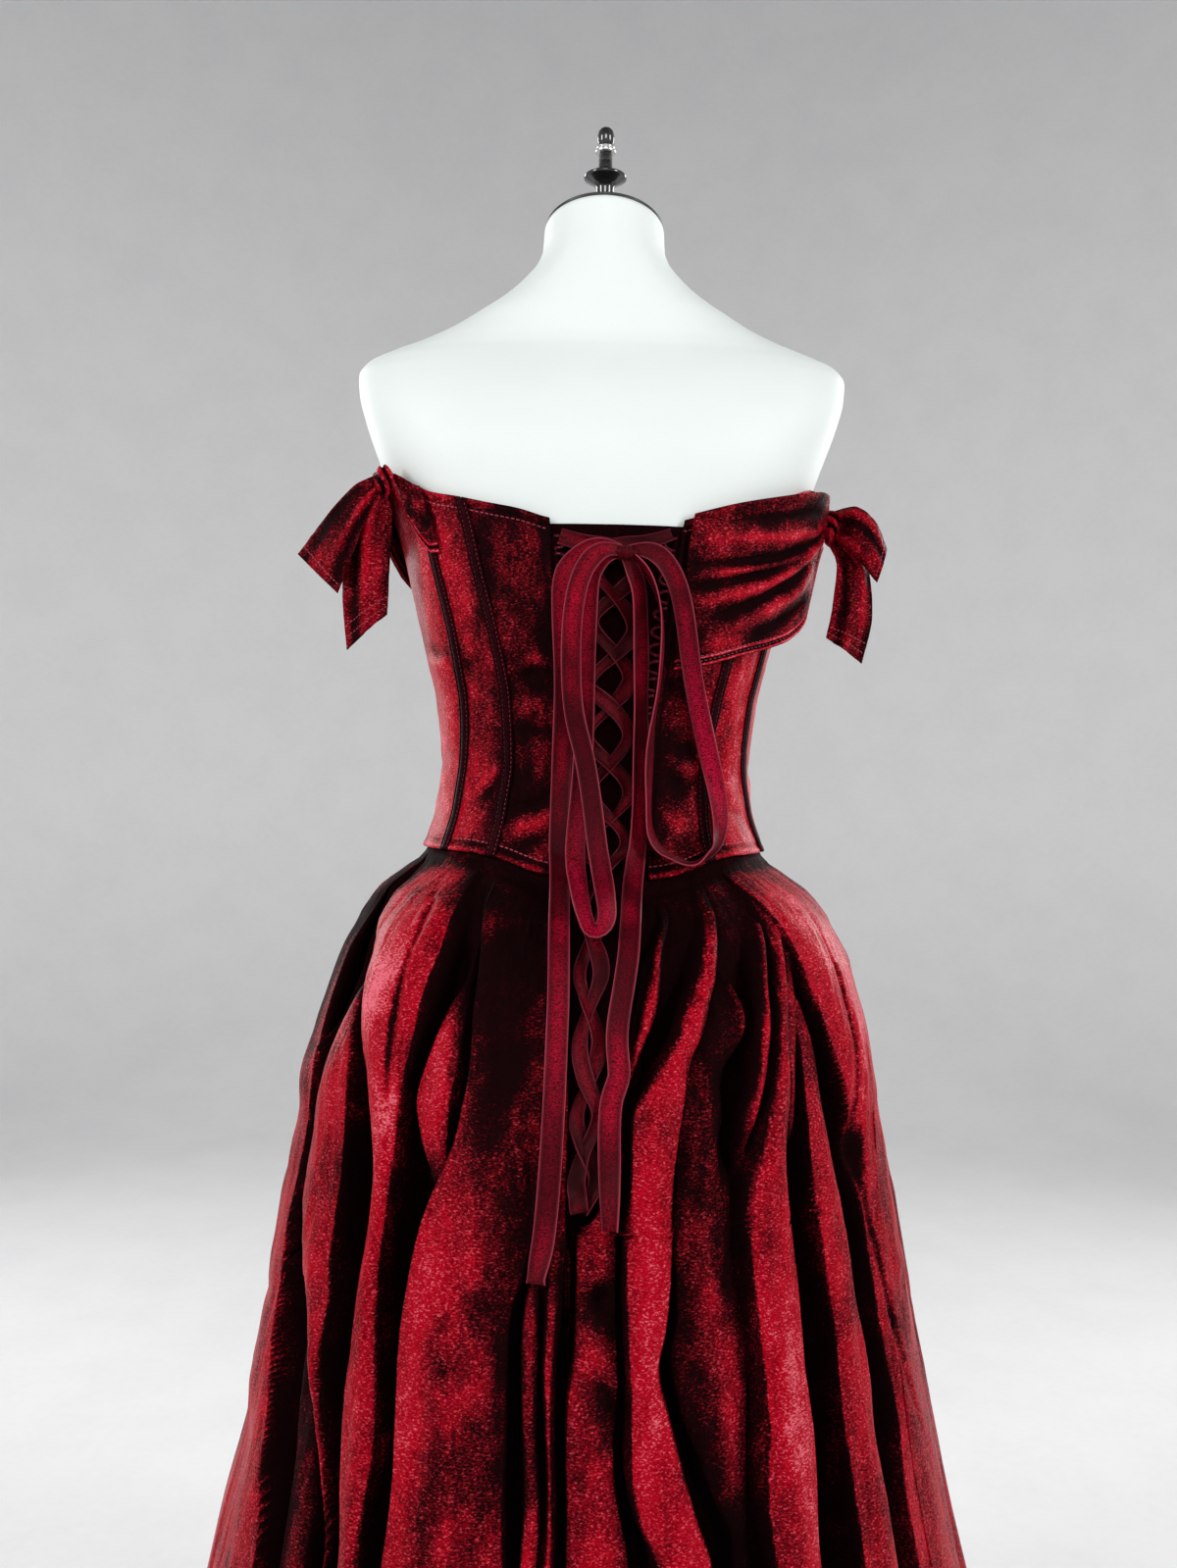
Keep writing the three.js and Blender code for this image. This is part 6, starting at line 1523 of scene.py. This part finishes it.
# Cut size of each cloth piece: width and length in metres, cut area in square
# metres, how it is held and what it rests on.
FORM = ["form_body"]
BODICE_L = ["bodice_back_center_L", "bodice_back_side_L", "bodice_side_L"]
BODICE_R = ["bodice_back_center_R", "bodice_back_side_R", "bodice_side_R"]
BODICE_F = ["bodice_front_side_L", "bodice_front_center", "bodice_front_side_R"]
SHEETS = {
    "velvet_back_center_L": (0.062, 0.262, 0.0150, "stretched", FORM),
    "velvet_back_center_R": (0.064, 0.265, 0.0156, "stretched", FORM),
    "velvet_back_side_L": (0.058, 0.272, 0.0122, "stretched", FORM),
    "velvet_back_side_R": (0.068, 0.278, 0.0146, "stretched", FORM),
    "velvet_side_L": (0.110, 0.280, 0.0245, "stretched", FORM),
    "velvet_side_R": (0.080, 0.280, 0.0162, "stretched", FORM),
    "velvet_front_side_L": (0.120, 0.292, 0.0272, "stretched", FORM),
    "velvet_front_side_R": (0.120, 0.292, 0.0272, "stretched", FORM),
    "velvet_front_center": (0.230, 0.300, 0.0545, "stretched", FORM),
    "modesty_cloth": (0.150, 0.275, 0.0310, "stretched", FORM),
    "channel_tape_back_L": (0.012, 0.270, None, "stretched", BODICE_L[:2]),
    "channel_tape_back_R": (0.012, 0.270, None, "stretched", BODICE_R[:2]),
    "channel_tape_side_L": (0.012, 0.275, None, "stretched", BODICE_L[1:]),
    "channel_tape_side_R": (0.012, 0.275, None, "stretched", BODICE_R[1:]),
    "loop_tape_cloth_L": (0.010, 0.235, 0.0013, "stretched", ["modesty_panel"]),
    "loop_tape_cloth_R": (0.010, 0.235, 0.0013, "stretched", ["modesty_panel"]),
    "placket_cloth": (0.072, 0.232, 0.0155, "hung", ["modesty_panel"]),
    "velvet_skirt_back_L": (0.800, 1.000, 0.560, "gathered", BODICE_L),
    "velvet_skirt_back_R": (0.790, 1.000, 0.550, "gathered", BODICE_R),
    "velvet_skirt_side_L": (0.530, 1.000, 0.375, "gathered", BODICE_L[2:] + BODICE_F[:1]),
    "velvet_skirt_side_R": (0.530, 1.000, 0.380, "gathered", BODICE_R[2:] + BODICE_F[2:]),
    "velvet_skirt_front": (1.380, 1.000, 0.990, "gathered", BODICE_F),
    "ribbon_bow_loop_L": (0.014, 0.640, None, "hung", ["bow_knot"]),
    "ribbon_bow_loop_R": (0.014, 0.530, None, "hung", ["bow_knot"]),
    "ribbon_bow_tail_L": (0.014, 0.580, None, "hung", ["bow_knot"]),
    "ribbon_bow_tail_R": (0.014, 0.515, None, "hung", ["bow_knot"]),
    "ribbon_lace_A": (0.011, 0.575, None, "stretched", ["loop_tape_L", "loop_tape_R"]),
    "ribbon_lace_B": (0.011, 0.575, None, "stretched", ["loop_tape_L", "loop_tape_R"]),
    "velvet_drape_R": (0.135, 0.150, 0.0155, "gathered", BODICE_R),
    "velvet_sleeve_front_R": (0.160, 0.105, 0.0130, "gathered", BODICE_F[1:]),
    "velvet_drape_L": (0.022, 0.052, 0.0010, "gathered", BODICE_L[1:]),
    "velvet_sleeve_front_L": (0.215, 0.105, 0.0165, "gathered", BODICE_L[2:] + BODICE_F[:2]),
    "velvet_ear_L": (0.044, 0.078, 0.0027, "hung", ["knot_L"]),
    "velvet_ear_R": (0.034, 0.060, 0.0017, "hung", ["knot_R"]),
    "velvet_tail_L": (0.038, 0.118, 0.0036, "hung", ["knot_L"]),
    "velvet_tail_R": (0.036, 0.098, 0.0028, "hung", ["knot_R"]),
}
for key, (w_, l_, area_, held_, rests_) in SHEETS.items():
    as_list(rests_)
